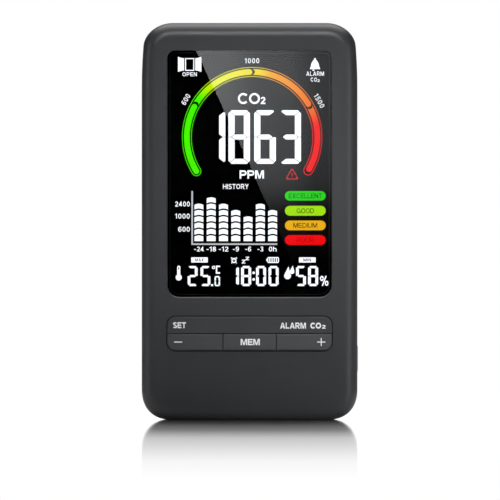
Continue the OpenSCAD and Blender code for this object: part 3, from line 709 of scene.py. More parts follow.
def glyph(char, t):
    """Width and shapes of a plain bold letter of height 1. A shape is one outline, or the two sides of a
    stroke."""
    a = t / 2
    s = 1.25 * t

    def bar(x0, z0, x1, z1):
        return [[(x0, z0), (x1, z0), (x1, z1), (x0, z1)]]

    if char == "A":
        w, foot, head = 0.98, 0.2, 0.2 + 0.85 * t
        x1, x2 = s + (w / 2 - s) * foot / 0.8, s + (w / 2 - s) * head / 0.8
        half = [(0, 0), (s, 0), (x1, foot), (w / 2, foot), (w / 2, head), (x2, head), (w / 2, 0.8),
                (w / 2, 1), (w / 2 - 1.15 * a, 1)]
        return w, [[half], [[(w - x, z) for x, z in half]]]
    if char == "C":
        return 0.96, [stroke(oval(0.49, 0.5, 0.49 - a, 0.5 - a, 42, 318), t)]
    if char == "G":
        return 1.0, [stroke(oval(0.49, 0.5, 0.49 - a, 0.5 - a, 42, 318), t), bar(1 - t, 0.08, 1, 0.52),
                     bar(0.56, 0.52 - 0.9 * t, 1 - t, 0.52)]
    if char == "D":
        return 0.9, [stroke([(a, 1 - a), (a, a), (0.42, a),
                             *oval(0.42, 0.5, 0.48 - a, 0.5 - a, -85, 85, 14), (0.42, 1 - a)], t, True)]
    if char == "E":
        return 0.78, [[[(0, 0), (0.78, 0), (0.78, t), (t, t), (t, 0.5 - a), (0.72, 0.5 - a),
                        (0.72, 0.5 + a), (t, 0.5 + a),
                        (t, 1 - t), (0.78, 1 - t), (0.78, 1), (0, 1)]]]
    if char == "H":
        w = 0.88
        return w, [[[(0, 0), (t, 0), (t, 0.5 - a), (w - t, 0.5 - a), (w - t, 0), (w, 0), (w, 1), (w - t, 1),
                     (w - t, 0.5 + a),
                     (t, 0.5 + a), (t, 1), (0, 1)]]]
    if char == "I":
        return t, [bar(0, 0, t, 1)]
    if char == "L":
        return 0.7, [[[(0, 0), (0.7, 0), (0.7, t), (t, t), (t, 1), (0, 1)]]]
    if char == "M":
        w = 1.06
        return w, [[[(0, 0), (t, 0), (t, 0.74), (w / 2 - a, 0), (w / 2 + a, 0), (w - t, 0.74), (w - t, 0),
                     (w, 0), (w, 1),
                     (w - 1.4 * t, 1), (w / 2, 0.3), (1.4 * t, 1), (0, 1)]]]
    if char == "N":
        w = 0.88
        return w, [[[(0, 0), (t, 0), (t, 0.7), (w - 1.1 * t, 0), (w, 0), (w, 1), (w - t, 1), (w - t, 0.3),
                     (1.1 * t, 1), (0, 1)]]]
    if char == "O":
        return 1.0, [stroke(oval(0.5, 0.5, 0.5 - a, 0.5 - a), t, True)]
    if char in "PR":
        parts = [stroke([(a, 1 - a), (a, 0.45), (0.5, 0.45),
                         *oval(0.5, 0.725 - a / 2, 0.34 - a, 0.275 - a / 2, -80, 80, 12),
                         (0.5, 1 - a)], t, True), bar(0, 0, t, 0.45 - a)]
        if char == "R":
            parts.append([[(0.86 - s, 0), (0.88, 0), (0.64, 0.45 - a), (0.64 - s, 0.45 - a)]])
        return (0.88 if char == "R" else 0.84), parts
    if char == "S":
        line = (oval(0.42, 0.74, 0.4 - a, 0.26 - a, 20, 240, 16)
                + oval(0.42, 0.27, 0.42 - a, 0.27 - a, 60, -160, 16))
        return 0.84, [stroke(line, t)]
    if char == "T":
        return 0.8, [[[(0.4 - a, 0), (0.4 + a, 0), (0.4 + a, 1 - t), (0.8, 1 - t), (0.8, 1), (0, 1),
                       (0, 1 - t), (0.4 - a, 1 - t)]]]
    if char == "U":
        return 0.88, [stroke([(a, 1), *oval(0.44, 0.44, 0.44 - a, 0.44 - a, 180, 360, 14), (0.88 - a, 1)], t)]
    if char == "X":
        w = 0.9
        return w, [[[(0, 0), (s, 0), (w / 2, 0.32), (w - s, 0), (w, 0), (w / 2 + 0.6 * s, 0.5), (w, 1),
                     (w - s, 1), (w / 2, 0.68),
                     (s, 1), (0, 1), (w / 2 - 0.6 * s, 0.5)]]]
    if char == "Y":
        w = 0.88
        return w, [[[(w / 2 - a, 0), (w / 2 + a, 0), (w / 2 + a, 0.4), (w, 1), (w - s, 1), (w / 2, 0.58),
                     (s, 1), (0, 1), (w / 2 - a, 0.4)]]]
    if char == "h":
        return 0.66, [bar(0, 0, t, 1), stroke([*oval(0.33, 0.42, 0.33 - a, 0.33 - a, 165, 0, 12),
                                               (0.66 - a, 0)], t)]
    if char == "-":
        return 0.42, [bar(0, 0.34, 0.4, 0.34 + t)]
    if char == "%":
        return 1.15, [stroke(oval(0.25, 0.74, 0.25 - a, 0.26 - a), t, True),
                      stroke(oval(0.9, 0.26, 0.25 - a, 0.26 - a), t, True),
                      [[(0.24, 0), (0.24 + s, 0), (0.91, 1), (0.91 - s, 1)]]]
    if char == "0":
        return 0.64, [stroke(oval(0.32, 0.5, 0.32 - a, 0.5 - a), t, True)]
    if char == "1":
        return 0.42, [[[(0.22, 0), (0.22 + t, 0), (0.22 + t, 1), (0.22 + 0.4 * t, 1), (0, 0.82),
                        (0, 0.82 - t), (0.22, 0.84 - 0.4 * t)]]]
    if char == "2":
        return 0.64, [stroke([*oval(0.32, 0.69, 0.31 - a, 0.31 - a, 170, -38, 16), (a + 0.05, t)], t),
                      bar(0, 0, 0.64, t)]
    if char == "3":
        return 0.64, [stroke(oval(0.31, 0.75, 0.29 - a, 0.25 - a, 165, -90, 16)
                             + oval(0.31, 0.27, 0.32 - a, 0.27 - a, 88, -165, 16), t)]
    if char == "4":
        return 0.68, [[[(0.4, 0), (0.4 + t, 0), (0.4 + t, 0.2), (0.68, 0.2), (0.68, 0.2 + 0.9 * t),
                        (0.4 + t, 0.2 + 0.9 * t),
                        (0.4 + t, 1), (0.42, 1), (0, 0.2 + 1.2 * t), (0, 0.2), (0.4, 0.2)]]]
    if char == "5":
        return 0.64, [bar(0.1, 1 - t, 0.6, 1), bar(0.08, 0.5, 0.08 + 0.8 * t, 1 - t),
                      stroke(oval(0.31, 0.32, 0.32 - a, 0.32 - a, 130, -160, 18), t)]
    if char in "69":
        parts = [stroke(oval(0.32, 0.32, 0.32 - a, 0.32 - a), t, True),
                 stroke([(a, 0.32), *oval(0.38, 0.56, 0.38 - a, 0.44 - a, 180, 48, 14)], t)]
        if char == "9":
            parts = [[[(0.64 - x, 1 - z) for x, z in line] for line in part] for part in parts]
        return 0.64, parts
    if char == "8":
        return 0.64, [stroke(oval(0.32, 0.755, 0.28 - a, 0.245 - a), t, True),
                      stroke(oval(0.32, 0.28, 0.32 - a, 0.28 - a), t, True)]
    return 0.3, []


class Ink:
    """Flat shapes in the front plane, made into a thin plate. y may be a function of (x, z)."""

    def __init__(self, name, material, body, slot, y, thickness=0.03):
        self.name, self.material, self.body, self.slot = name, material, body, slot
        self.y, self.thickness = y, thickness
        self.bm = bmesh.new()

    def poly(self, points, z0=0.0, x0=0.0):
        verts = [self.bm.verts.new((x + x0, 0, z + z0)) for x, z in points]
        self.bm.faces.new(verts)
        return self

    def box(self, x0, z0, x1, z1):
        return self.poly([(x0, z0), (x1, z0), (x1, z1), (x0, z1)])

    def strip(self, outer, inner):
        """Band between two closed outlines of equal numbers of points."""
        a = [self.bm.verts.new((x, 0, z)) for x, z in outer]
        b = [self.bm.verts.new((x, 0, z)) for x, z in inner]
        for i in range(len(a)):
            j = (i + 1) % len(a)
            self.bm.faces.new((a[i], a[j], b[j], b[i]))
        return self

    def band(self, left, right):
        """Band between two open lines of equal numbers of points."""
        a = [self.bm.verts.new((x, 0, z)) for x, z in left]
        b = [self.bm.verts.new((x, 0, z)) for x, z in right]
        for i in range(len(a) - 1):
            self.bm.faces.new((a[i], a[i + 1], b[i + 1], b[i]))
        return self

    def text(self, words, x, z, width, height, weight=0.18, turn=0.0, gap=0.09):
        """Words centred on (x, z), and stretched to the width and height given. weight and gap are the
        shares of the height taken by a stroke and by the space between letters."""
        c, s = math.cos(math.radians(turn)), math.sin(math.radians(turn))
        shapes, at = [], 0.0
        for char in words:
            wide, parts = glyph(char, weight)
            shapes += [[[(px + at, pz) for px, pz in line] for line in part] for part in parts]
            at += wide + gap
        total = at - gap
        for part in shapes:
            placed = []
            for line in part:
                row = []
                for px, pz in line:
                    u, w = (px / total - 0.5) * width, (pz - 0.5) * height
                    row.append((x + u * c - w * s, z + u * s + w * c))
                placed.append(row)
            if len(placed) == 1:
                self.poly(placed[0])
            elif placed[0][0] == placed[0][-1]:
                self.strip(placed[0][:-1], placed[1][:-1])
            else:
                self.band(*placed)
        return self

    def done(self):
        bm = self.bm
        bmesh.ops.recalc_face_normals(bm, faces=bm.faces)
        bm.normal_update()
        for f in bm.faces:
            if f.normal.y > 0:
                f.normal_flip()
        edges = [e for e in bm.edges if len(e.link_faces) == 1]
        front = list(bm.verts)
        back = {v: bm.verts.new((v.co.x, 1, v.co.z)) for v in front}
        faces = list(bm.faces)
        for f in faces:
            bm.faces.new([back[v] for v in reversed(f.verts)])
        for e in edges:
            a, b = e.verts
            loop = e.link_loops[0]
            if loop.vert is not a:
                a, b = b, a
            bm.faces.new((b, a, back[a], back[b]))
        for v in bm.verts:
            base = self.y(v.co.x, v.co.z) if callable(self.y) else self.y
            v.co.y = base + (self.thickness if v.co.y > 0.5 else 0.0)
            v.co *= MM
        obj = new_object(self.name, bm)
        obj.data.materials.append(self.material)
        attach(obj, self.body)
        return obj


def lit(name, material, lift=0.0):
    return Ink(name, material, "housing", "lcd", GLASS_FRONT - 0.04 - lift)


SEGMENTS = {"0": "abcdef", "1": "bc", "2": "abged", "3": "abgcd", "5": "afgcd", "6": "afgedc", "8": "abcdefg"}


def digit(ink, char, x0, z0, w, h, upright, level, gap, chamfer):
    """Seven-segment digit. upright and level are the widths of its upright and level strokes."""
    x1, z1, zm = x0 + w, z0 + h, z0 + h / 2
    c, g = chamfer, gap / 2
    top = [(x0 + c / 2 + g, z1 - c / 2 + g / 2), (x0 + c, z1), (x1 - c, z1),
           (x1 - c / 2 - g, z1 - c / 2 + g / 2),
           (x1 - upright - g, z1 - level), (x0 + upright + g, z1 - level)]
    left = [(x0, z1 - c), (x0 + c / 2 - g / 2, z1 - c / 2 - g), (x0 + upright, z1 - level - g * 1.6),
            (x0 + upright, zm + level / 2 + g * 1.2), (x0 + upright * 0.45, zm + g), (x0, zm + g)]
    middle = [(x0 + upright * 0.5 + g, zm), (x0 + upright + g, zm + level / 2),
              (x1 - upright - g, zm + level / 2),
              (x1 - upright * 0.5 - g, zm), (x1 - upright - g, zm - level / 2),
              (x0 + upright + g, zm - level / 2)]

    def mirror(points, across=False, over=False):
        return [((x0 + x1 - x) if across else x, (2 * zm - z) if over else z) for x, z in points]

    shapes = {"a": top, "d": mirror(top, over=True), "g": middle, "f": left, "e": mirror(left, over=True),
              "b": mirror(left, across=True), "c": mirror(left, True, True)}
    for key in SEGMENTS[char]:
        ink.poly(shapes[key])


def arc_points(cx, cz, r, a0, a1, steps):
    return oval(cx, cz, r, r, a0, a1, steps)


# ---- Display ----

white = lit("display_white", white_light)
for char, x0, w in (("1", -17.2, 8.08), ("8", -8.02, 8.2), ("6", 1.72, 8.25), ("3", 11.25, 8.2)):
    digit(white, char, x0 + 0.03, 96.75, w - 0.06, 20.26, 2.34, 1.9, 0.18, 1.15)
white.text("CO", -0.24, 121.41, 8.33, 4.19, 0.185, gap=0.05).text("2", 5.1, 120.68, 1.77, 2.75, 0.2)
white.text("PPM", 0.84, 92.73, 9.2, 3.13, 0.2)
white.text("HISTORY", -5.21, 88.19, 9.69, 1.88, 0.165, gap=0.15)
white.text("1000", 0.92, 135.68, 5.5, 1.95, 0.14, gap=0.24)
white.text("600", -24.09, 121.08, 4.1, 1.95, 0.14, 60, 0.24)
white.text("1500", 26.3, 120.55, 5.5, 1.95, 0.14, -61, 0.24)
white.text("OPEN", -22.64, 130.58, 5.45, 1.5, 0.165, gap=0.2)
white.text("ALARM", 24.74, 130.8, 6.7, 1.65, 0.15, gap=0.2)
white.text("CO", 24.28, 128.56, 2.4, 1.5, 0.17, gap=0.2).text("2", 26.05, 128.18, 0.8, 1.0, 0.18)

# open window: a shutter swung out on each side of a frame
for side in (-1, 1):
    def at(out, z, side=side):
        return (-22.62 + side * out, z)

    top = [at(4.42 - 2.3 * i / 8, 137.18 - 0.55 * math.sin(math.pi / 2 * i / 8)) for i in range(9)]
    white.poly(top + [
        at(z_out, 268.56 - z) for z_out, z in [
            (4.42 - 2.3 * i / 8, 137.12 - 0.55 * math.sin(math.pi / 2 * i / 8)) for i in range(8, -1, -1)]])
white.strip([(-24.36, 131.88), (-20.88, 131.88), (-20.88, 136.66), (-24.36, 136.66)],
            [(-24.0, 132.24), (-21.24, 132.24), (-21.24, 136.3), (-24.0, 136.3)])

# bell
half = ((136.25, 0.22), (135.95, 0.5), (135.55, 0.85), (135.1, 1.14), (134.6, 1.36), (134.0, 1.5),
        (133.5, 1.6), (133.1, 1.76),
        (132.8, 1.92), (132.5, 1.9))
white.poly([(24.7 + w, z) for z, w in half] + [(24.7 - w, z) for z, w in reversed(half)])
white.poly(circle(24.7, 136.38, 0.34, 16))
white.poly(arc_points(24.1, 132.32, 0.46, 180, 360, 12))

# history chart
frame_lines = lit("display_axes", grey_light)
frame_lines.poly([(-21.98, 66.12), (10.46, 66.12), (10.46, 66.72), (-21.38, 66.72), (-21.38, 86.49),
                  (-21.98, 86.49)])
frame_lines.done()
for column, count in enumerate((6, 7, 6, 5, 4, 6, 5)):
    x0 = -20.82 + 4.64 * column
    x1 = x0 + 3.36
    for row in range(count):
        z0 = 67.41 + 2.39 * row
        rise = 0.42

        def arch(z, scale):
            return [(x0 + (x1 - x0) * i / 10, z + scale * math.sin(math.pi * i / 10)) for i in range(11)]

        white.band(arch(z0 + 0.14, 0 if row == 0 else rise), arch(z0 + 1.9, rise))
for words, x, w, z in (("2400", -25.35, 5.55, 81.57), ("1000", -25.35, 5.55, 76.99),
                       ("600", -24.75, 4.35, 72.05)):
    white.text(words, x, z, w, 1.9, 0.145, gap=0.18)
for i, (words, w) in enumerate((("-24", 3.6), ("-18", 3.6), ("-12", 3.6), ("-9", 2.25), ("-6", 2.25),
                                ("-3", 2.25), ("0h", 2.9))):
    white.text(words, -19.1 + 4.64 * i, 64.56, w, 1.85, 0.155, gap=0.15)

# temperature, clock and humidity
for char, x0, w in (("2", -23.41, 3.82), ("5", -18.58, 3.82), ("1", -7.87, 3.88), ("8", -3.23, 3.88),
                    ("0", 2.4, 3.85),
                    ("0", 7.12, 3.88), ("5", 17.5, 3.82), ("8", 22.05, 3.88)):
    digit(white, char, x0 + 0.04, 50.58, w - 0.08, 7.58, 1.04, 0.86, 0.14, 0.75)
digit(white, "0", -13.24, 50.56, 2.06, 3.8, 0.56, 0.5, 0.08, 0.4)
white.box(-14.55, 50.54, -13.75, 51.3)
white.text("%", 28.2, 52.55, 3.2, 3.77, 0.14)
for z in (53.1, 55.6):
    white.poly(circle(1.55, z, 0.5, 20))
white.strip(circle(-13.6, 57.6, 0.62, 24), circle(-13.6, 57.6, 0.3, 24))
white.poly([(-12.75, 55.26), (-11.15, 55.26), (-11.15, 55.8), (-12.2, 55.8), (-12.2, 57.75), (-11.15, 57.75),
            (-11.15, 58.3), (-12.75, 58.3)])
# thermometer
white.poly(circle(-26.75, 53.85, 1.16, 28))
white.strip(centred_box(-26.75, 56.35, 1.16, 3.8, 0.57, 8), centred_box(-26.75, 57.3, 0.42, 1.0, 0.2, 8))


def drop(cx, cz, r, top, lean=0.0):
    points = arc_points(cx, cz, r, 150, 390, 26)
    return points + [(cx + lean, top)]


white.poly(drop(14.35, 54.45, 1.28, 58.0, 0.35))
white.poly(drop(16.05, 56.0, 0.85, 58.35, 0.3))
# battery level
white.strip(round_box(6.72, 59.32, 11.08, 61.52, [0.5] * 4, 5),
            round_box(7.08, 59.68, 10.72, 61.16, [0.12] * 4, 5))
white.box(6.34, 59.95, 6.62, 60.9)
for i in range(4):
    white.box(7.47 + 0.82 * i, 59.72, 7.87 + 0.82 * i, 61.12)
# alarm clock
white.strip(circle(-5.89, 60.25, 0.95, 28), circle(-5.89, 60.25, 0.56, 28))
white.box(-5.99, 60.2, -5.79, 60.78)
for side in (-1, 1):
    white.poly([(-5.89 + side * a, z) for a, z in ((0.55, 61.3), (1.05, 60.85), (1.22, 61.2), (0.85, 61.5))])
    white.poly([(-5.89 + side * a, z) for a, z in ((0.6, 59.5), (0.82, 59.66), (1.12, 59.2), (0.86, 59.05))])
# sleep mark
for x, z, s in ((-2.95, 59.12, 1.4), (-1.5, 60.35, 1.3)):
    t = 0.28
    white.poly([(x, z), (x + s, z), (x + s, z + t), (x + 0.5, z + t), (x + s, z + s - t), (x + s, z + s),
                (x, z + s),
                (x, z + s - t), (x + s - 0.5, z + s - t), (x, z + t)])
# boxes behind the words MAX and MIN
white.poly(round_box(-22.02, 59.48, -15.8, 61.42, [0.15] * 4, 3))
white.poly(round_box(18.65, 59.48, 24.95, 61.42, [0.15] * 4, 3))
white.done()
dark = lit("display_dark", unlit, 0.05)
small = lit("display_max_min", unlit, 0.05)
small.text("MAX", -18.91, 60.44, 3.2, 1.2, 0.2, gap=0.2)
small.text("MIN", 21.8, 60.44, 2.9, 1.2, 0.2, gap=0.2)
small.done()

# air quality bars
for name, material, words, z0, z1, w in (
        ("excellent", green_light, "EXCELLENT", 82.8, 86.5, 12.5),
        ("good", lime_light, "GOOD", 77.1, 80.95, 6.5),
        ("medium", amber_light, "MEDIUM", 71.6, 75.4, 9.05), ("poor", red_light, "POOR", 66.05, 69.9, 6.3)):
    bar = lit("display_" + name, material)
    z0, z1 = z0 + 0.06, z1 - 0.06
    bar.poly(round_box(13.36, z0, 28.74, z1, [(z1 - z0) / 2 - 0.01] * 4, 12))
    bar.done()
    dark.text(words, 21.03, (z0 + z1) / 2, w, 1.8, 0.07 if words == "POOR" else 0.135, gap=0.11)
dark.done()

# warning triangle
warning = lit("display_warning", dim_red)


def triangle(r):
    points = []
    for corner in (90, 210, 330):
        turn = math.radians(corner)
        cx, cz = 16.06 + (2.25 - r) * math.cos(turn), 92.35 + (2.25 - r) * math.sin(turn)
        points += [(cx + 0.45 * math.cos(math.radians(corner + a)),
                    cz + 0.45 * math.sin(math.radians(corner + a)))
                   for a in range(-60, 61, 20)]
    return points


warning.strip(triangle(0.1), triangle(0.85))
warning.poly([(15.9, 92.2), (16.22, 92.2), (16.3, 93.3), (15.82, 93.3)])
warning.poly(circle(16.06, 91.75, 0.2, 12))
warning.done()

# dial: four rounded lengths between two thin outlines
DIAL = (0.95, 106.79)
DIAL_HALF_ANGLE = 122


def dial_material():
    s = Shader("dial_light", (0.01, 0.01, 0.01), 0.5, Specular_IOR_Level=0.0)
    split = s.nodes.new("ShaderNodeSeparateXYZ")
    shift = s.nodes.new("ShaderNodeMapping")
    shift.inputs["Location"].default_value = (-DIAL[0] * MM, 0, -DIAL[1] * MM)
    s.links.new(s.position(), shift.inputs["Vector"])
    s.links.new(shift.outputs["Vector"], split.inputs["Vector"])
    angle = s.nodes.new("ShaderNodeMath")
    angle.operation = "ARCTAN2"
    s.links.new(split.outputs["X"], angle.inputs[0])
    s.links.new(split.outputs["Z"], angle.inputs[1])
    share = s.nodes.new("ShaderNodeMapRange")
    share.inputs["From Min"].default_value = -math.radians(DIAL_HALF_ANGLE)
    share.inputs["From Max"].default_value = math.radians(DIAL_HALF_ANGLE)
    s.links.new(angle.outputs["Value"], share.inputs["Value"])
    green, yellow, amber, orange, red = (
        (0.04, 0.62, 0), (0.5, 0.56, 0), (0.57, 0.45, 0), (0.58, 0.24, 0), (0.6, 0, 0))
    stops = ((0.0, green), (0.28, green), (0.36, yellow), (0.53, amber), (0.57, orange),
             (0.77, (0.57, 0.09, 0)), (0.82, red))
    s.feed("Emission Color", s.ramp(share.outputs["Result"], stops))
    s.set("Emission Strength", 1.2 * LIT)
    return s.material


dial = lit("display_dial", dial_material())


def dial_length(a0, a1, r0, r1, butt_start):
    """Band from angle a0 down to a1 with a rounded leading end. Its start is hollow where it butts on
    another."""
    mid, half, n = (r0 + r1) / 2, (r1 - r0) / 2, max(8, int(abs(a0 - a1)))

    def end(a, way, side=1, steps=10):
        c, s = math.cos(math.radians(a)), math.sin(math.radians(a))
        out = []
        for i in range(1, steps):
            t = math.pi * i / steps
            r, along = mid + side * half * math.cos(t), half * math.sin(t) * way
            out.append((DIAL[0] + r * c + along * s, DIAL[1] + r * s - along * c))
        return out

    start = end(a0, 1, -1) if butt_start else end(a0, -1)[::-1]
    return arc_points(*DIAL, r1, a0, a1, n) + end(a1, 1) + arc_points(*DIAL, r0, a0, a1, n)[::-1] + start


ENDS = (211.4, 150.6, 90.8, 29.0, -30.6)
for k in range(4):
    start = ENDS[k] - (0.75 if k else 0)
    dial.poly(dial_length(start, ENDS[k + 1] + 1.5, 23.56, 25.74, k > 0))
for r0, r1 in ((26.24, 26.48), (22.82, 23.06)):
    dial.band(arc_points(*DIAL, r0, ENDS[0], ENDS[4], 140), arc_points(*DIAL, r1, ENDS[0], ENDS[4], 140))
for a, way in ((ENDS[0], -1), (ENDS[4], 1)):
    c, s = math.cos(math.radians(a)), math.sin(math.radians(a))
    lines = []
    for half in (1.83, 1.59):
        lines.append([(DIAL[0] + (24.65 + half * math.cos(t)) * c + way * half * math.sin(t) * s,
                       DIAL[1] + (24.65 + half * math.cos(t)) * s - way * half * math.sin(t) * c)
                      for t in [math.pi * i / 20 for i in range(21)]])
    dial.band(*lines)
dial.done()


# ---- Key legends ----


def lower_face(x, z):
    return KEY_TOP_FACE + KEY_LEAN * (z - (KEYS_SEAM - KEY_GAP / 2)) - 0.03


def legend(name, body, face):
    return Ink(name, legend_ink, body, "key", face, 0.04)


rocker_words = legend("rocker_legend", "rocker", ROCKER_FACE - 0.03)
rocker_words.text("SET", -26.47, 35.84, 4.98, 2.27, 0.215)
rocker_words.text("ALARM", 16.37, 35.68, 9.75, 2.25, 0.21).text("CO", 24.95, 35.68, 4.1, 2.3, 0.25, gap=0.0)
rocker_words.text("2", 28.0, 35.25, 1.4, 1.45, 0.22)
rocker_words.done()
legend("mem_legend", "mem_button", lower_face).text("MEM", 0.24, 29.5, 7.24, 2.35, 0.215).done()
legend("minus_legend", "minus_button", lower_face).box(-28.47, 29.3, -25.42, 29.68).done()
plus = legend("plus_legend", "plus_button", lower_face)
plus.poly([(27.02 + x, 29.49 + z) for x, z in (
    (-1.55, -0.18), (-0.18, -0.18), (-0.18, -1.5), (0.18, -1.5), (0.18, -0.18), (1.55, -0.18), (1.55, 0.18),
    (0.18, 0.18),
    (0.18, 1.5), (-0.18, 1.5), (-0.18, 0.18), (-1.55, 0.18))])
plus.done()

# ---- Materials of the CAD nodes that show as they are ----

CAD_MATERIALS = {
    "lens_adhesive": black_tape, "lcd_glass": black_glass, "diffuser_sheet": white_plastic,
    "light_guide": guide_plastic,
    "lcd_holder": white_plastic, "backlight_leds": lamp_resin, "contact_strips": contact_rubber,
    "main_board": green_board, "board_screws": screw_steel, "case_screws": screw_steel, "rocker_pin": steel,
    "rocker_plungers": ivory_plastic, "minus_plunger": ivory_plastic, "mem_plunger": ivory_plastic,
    "plus_plunger": ivory_plastic, "key_switches": inside_plastic, "power_plunger": inside_plastic,
    "power_switch": steel, "usb_shell": steel, "usb_tongue": inside_plastic, "co2_board": blue_board,
    "co2_chamber": gold, "co2_filter": membrane, "co2_pins": gold, "vent_gasket": black_foam,
    "humidity_sensor": ivory_plastic, "buzzer": inside_plastic, "processor": inside_plastic,
    "board_parts": tan_ceramic,
    "battery": battery_foil, "battery_tape": membrane, "battery_lead_red": lead_red,
    "battery_lead_black": lead_black,
    "battery_plug": ivory_plastic, "battery_socket": ivory_plastic, "stand_pin": steel,
}
for node, material in CAD_MATERIALS.items():
    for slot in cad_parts[node].material_slots:
        slot.material = material

# ---- Studio ----

scene = bpy.context.scene
scene.view_settings.view_transform = "Standard"
scene.view_settings.look = "None"
scene.view_settings.exposure = 0.0
scene.view_settings.gamma = 1.0

CAMERA_FAR, CAMERA_HIGH, VIEW_WIDE = 2.5, 0.0642, 0.1886
camera = bpy.data.objects.new("camera", bpy.data.cameras.new("camera"))
scene.collection.objects.link(camera)
camera.location = (0.00016, -CAMERA_FAR, CAMERA_HIGH)
camera.rotation_euler = (math.pi / 2, 0, 0)
camera.data.sensor_width = 36
camera.data.lens = 36 * (CAMERA_FAR - 0.0125) / VIEW_WIDE
camera.data.clip_start, camera.data.clip_end = 0.01, 50
scene.camera = camera


def area_light(name, place, aim, size, power, color=(1, 1, 1)):
    data = bpy.data.lights.new(name, "AREA")
    data.shape, data.size, data.size_y = "RECTANGLE", *size
    data.energy, data.color = power, color
    obj = bpy.data.objects.new(name, data)
    scene.collection.objects.link(obj)
    obj.location = place
    obj.rotation_euler = (Vector(aim) - Vector(place)).to_track_quat("-Z", "Y").to_euler()
    obj.visible_camera = False
    return obj


def plain_emission(name, color, strength):
    material = bpy.data.materials.new(name)
    material.use_nodes = True
    nodes, links = material.node_tree.nodes, material.node_tree.links
    nodes.clear()
    out, emission = nodes.new("ShaderNodeOutputMaterial"), nodes.new("ShaderNodeEmission")
    emission.inputs["Color"].default_value = (*color, 1)
    emission.inputs["Strength"].default_value = strength
    links.new(emission.outputs["Emission"], out.inputs["Surface"])
    return material, nodes, links, emission


def flat_panel(name, corners, material):
    mesh = bpy.data.meshes.new(name)
    mesh.from_pydata([Vector(c) for c in corners], [], [list(range(len(corners)))])
    mesh.materials.append(material)
    obj = bpy.data.objects.new(name, mesh)
    scene.collection.objects.link(obj)
    return obj


FLOOR_FADE = ((0.05, 0.0), (0.15, 0.15), (0.25, 0.53), (0.4, 0.77), (0.5, 0.92), (0.65, 1.0))
FLOOR_REACH = 0.7


def make_floor():
    """White and glossy near the object, fading into the plain white of the studio further out."""
    shader = Shader("floor_white", (0.9, 0.9, 0.9), 0.06, Specular_IOR_Level=0.6, Coat_Weight=1.0,
                    Coat_Roughness=0.05)
    shader.feed("Roughness", shader.spread(shader.noise(3, 2), 0.055, 0.065))
    nodes, links = shader.nodes, shader.links
    away = nodes.new("ShaderNodeVectorMath")
    away.operation = "LENGTH"
    links.new(shader.position(), away.inputs[0])
    share = nodes.new("ShaderNodeMapRange")
    share.inputs["From Max"].default_value = FLOOR_REACH
    links.new(away.outputs["Value"], share.inputs["Value"])
    fade = shader.ramp(share.outputs["Result"], [(r / FLOOR_REACH, (f, f, f)) for r, f in FLOOR_FADE])
    path, both, white = (nodes.new(t) for t in ("ShaderNodeLightPath", "ShaderNodeMath", "ShaderNodeEmission"))
    both.operation = "MULTIPLY"
    links.new(fade, both.inputs[0])
    links.new(path.outputs["Is Camera Ray"], both.inputs[1])
    # matt when seen from higher up, so the lights don't show in it
    tilt, lying, sheen = (
        nodes.new(t) for t in ("ShaderNodeLayerWeight", "ShaderNodeMapRange", "ShaderNodeMixShader"))
    matt = nodes.new("ShaderNodeBsdfDiffuse")
    matt.inputs["Color"].default_value = (0.9, 0.9, 0.9, 1)
    lying.inputs["From Min"].default_value, lying.inputs["From Max"].default_value = 0.9, 0.955
    links.new(tilt.outputs["Facing"], lying.inputs["Value"])
    links.new(lying.outputs["Result"], sheen.inputs["Fac"])
    links.new(matt.outputs["BSDF"], sheen.inputs[1])
    links.new(shader.bsdf.outputs["BSDF"], sheen.inputs[2])
    mix = nodes.new("ShaderNodeMixShader")
    links.new(both.outputs["Value"], mix.inputs["Fac"])
    links.new(sheen.outputs["Shader"], mix.inputs[1])
    links.new(white.outputs["Emission"], mix.inputs[2])
    out = next(n for n in nodes if n.type == "OUTPUT_MATERIAL")
    links.new(mix.outputs["Shader"], out.inputs["Surface"])
    return flat_panel("floor", [(-6, -6, 0), (6, -6, 0), (6, 6, 0), (-6, 6, 0)], shader.material)


make_floor()


def snoot(name, place, aim, radius, power):
    """Narrow soft-edged light whose pool has the given radius where it lands."""
    data = bpy.data.lights.new(name, "SPOT")
    data.energy, data.shadow_soft_size, data.spot_blend = power, 0.06, 1.0
    way = Vector(aim) - Vector(place)
    data.spot_size = 2 * math.atan(radius / way.length)
    obj = bpy.data.objects.new(name, data)
    scene.collection.objects.link(obj)
    obj.location = place
    obj.rotation_euler = way.to_track_quat("-Z", "Y").to_euler()
    obj.visible_camera = False


area_light("top_softbox", (0, -0.02, 1.1), (0, 0, 0.08), (1.3, 0.7), 7.2)
area_light("top_back", (0, 0.5, 1.2), (0, 0, 0.08), (1.3, 0.8), 10)
area_light("left_soft", (-1.0, -0.37, 0.2), (0, 0, 0.08), (0.2, 0.6), 1.3)
area_light("right_strip", (0.55, -0.6, 0.1), (0.02, 0, 0.09), (0.12, 0.2), 0.5)
area_light("right_rim", (0.2, -0.12, 0.09), (0.03, 0, 0.08), (0.06, 0.2), 0.06)
snoot("upper_right", (0.15, -1.1, 0.75), (0.05, 0, 0.08), 0.083, 57)
snoot("upper_middle", (-0.15, -1.1, 0.75), (0, 0, 0.13), 0.086, 15)
snoot("upper_left", (-0.2, -1.1, 0.75), (-0.035, 0, 0.094), 0.053, 48)

# Soft light with one slanting edge, seen in the window. It fades to the right and downwards.
GLARE_AWAY = 1.2
GLARE_POWER = 3.6
GLARE_ACROSS = ((-20, 1.0), (-8, 0.92), (2, 0.65), (15, 0.54), (25, 0.3))
GLARE_DOWN = ((60, 0.0), (78, 0.1), (90, 0.6), (100, 0.78), (125, 1.0))
GLARE_REACH = 1 + GLARE_AWAY / (CAMERA_FAR + LENS_FRONT * MM)


def glare_point(x, z):
    """Where the panel lies that the window shows at (x, z)."""
    return Vector((camera.location.x + (x * MM - camera.location.x) * GLARE_REACH, -GLARE_AWAY,
                   CAMERA_HIGH + (z * MM - CAMERA_HIGH) * GLARE_REACH))


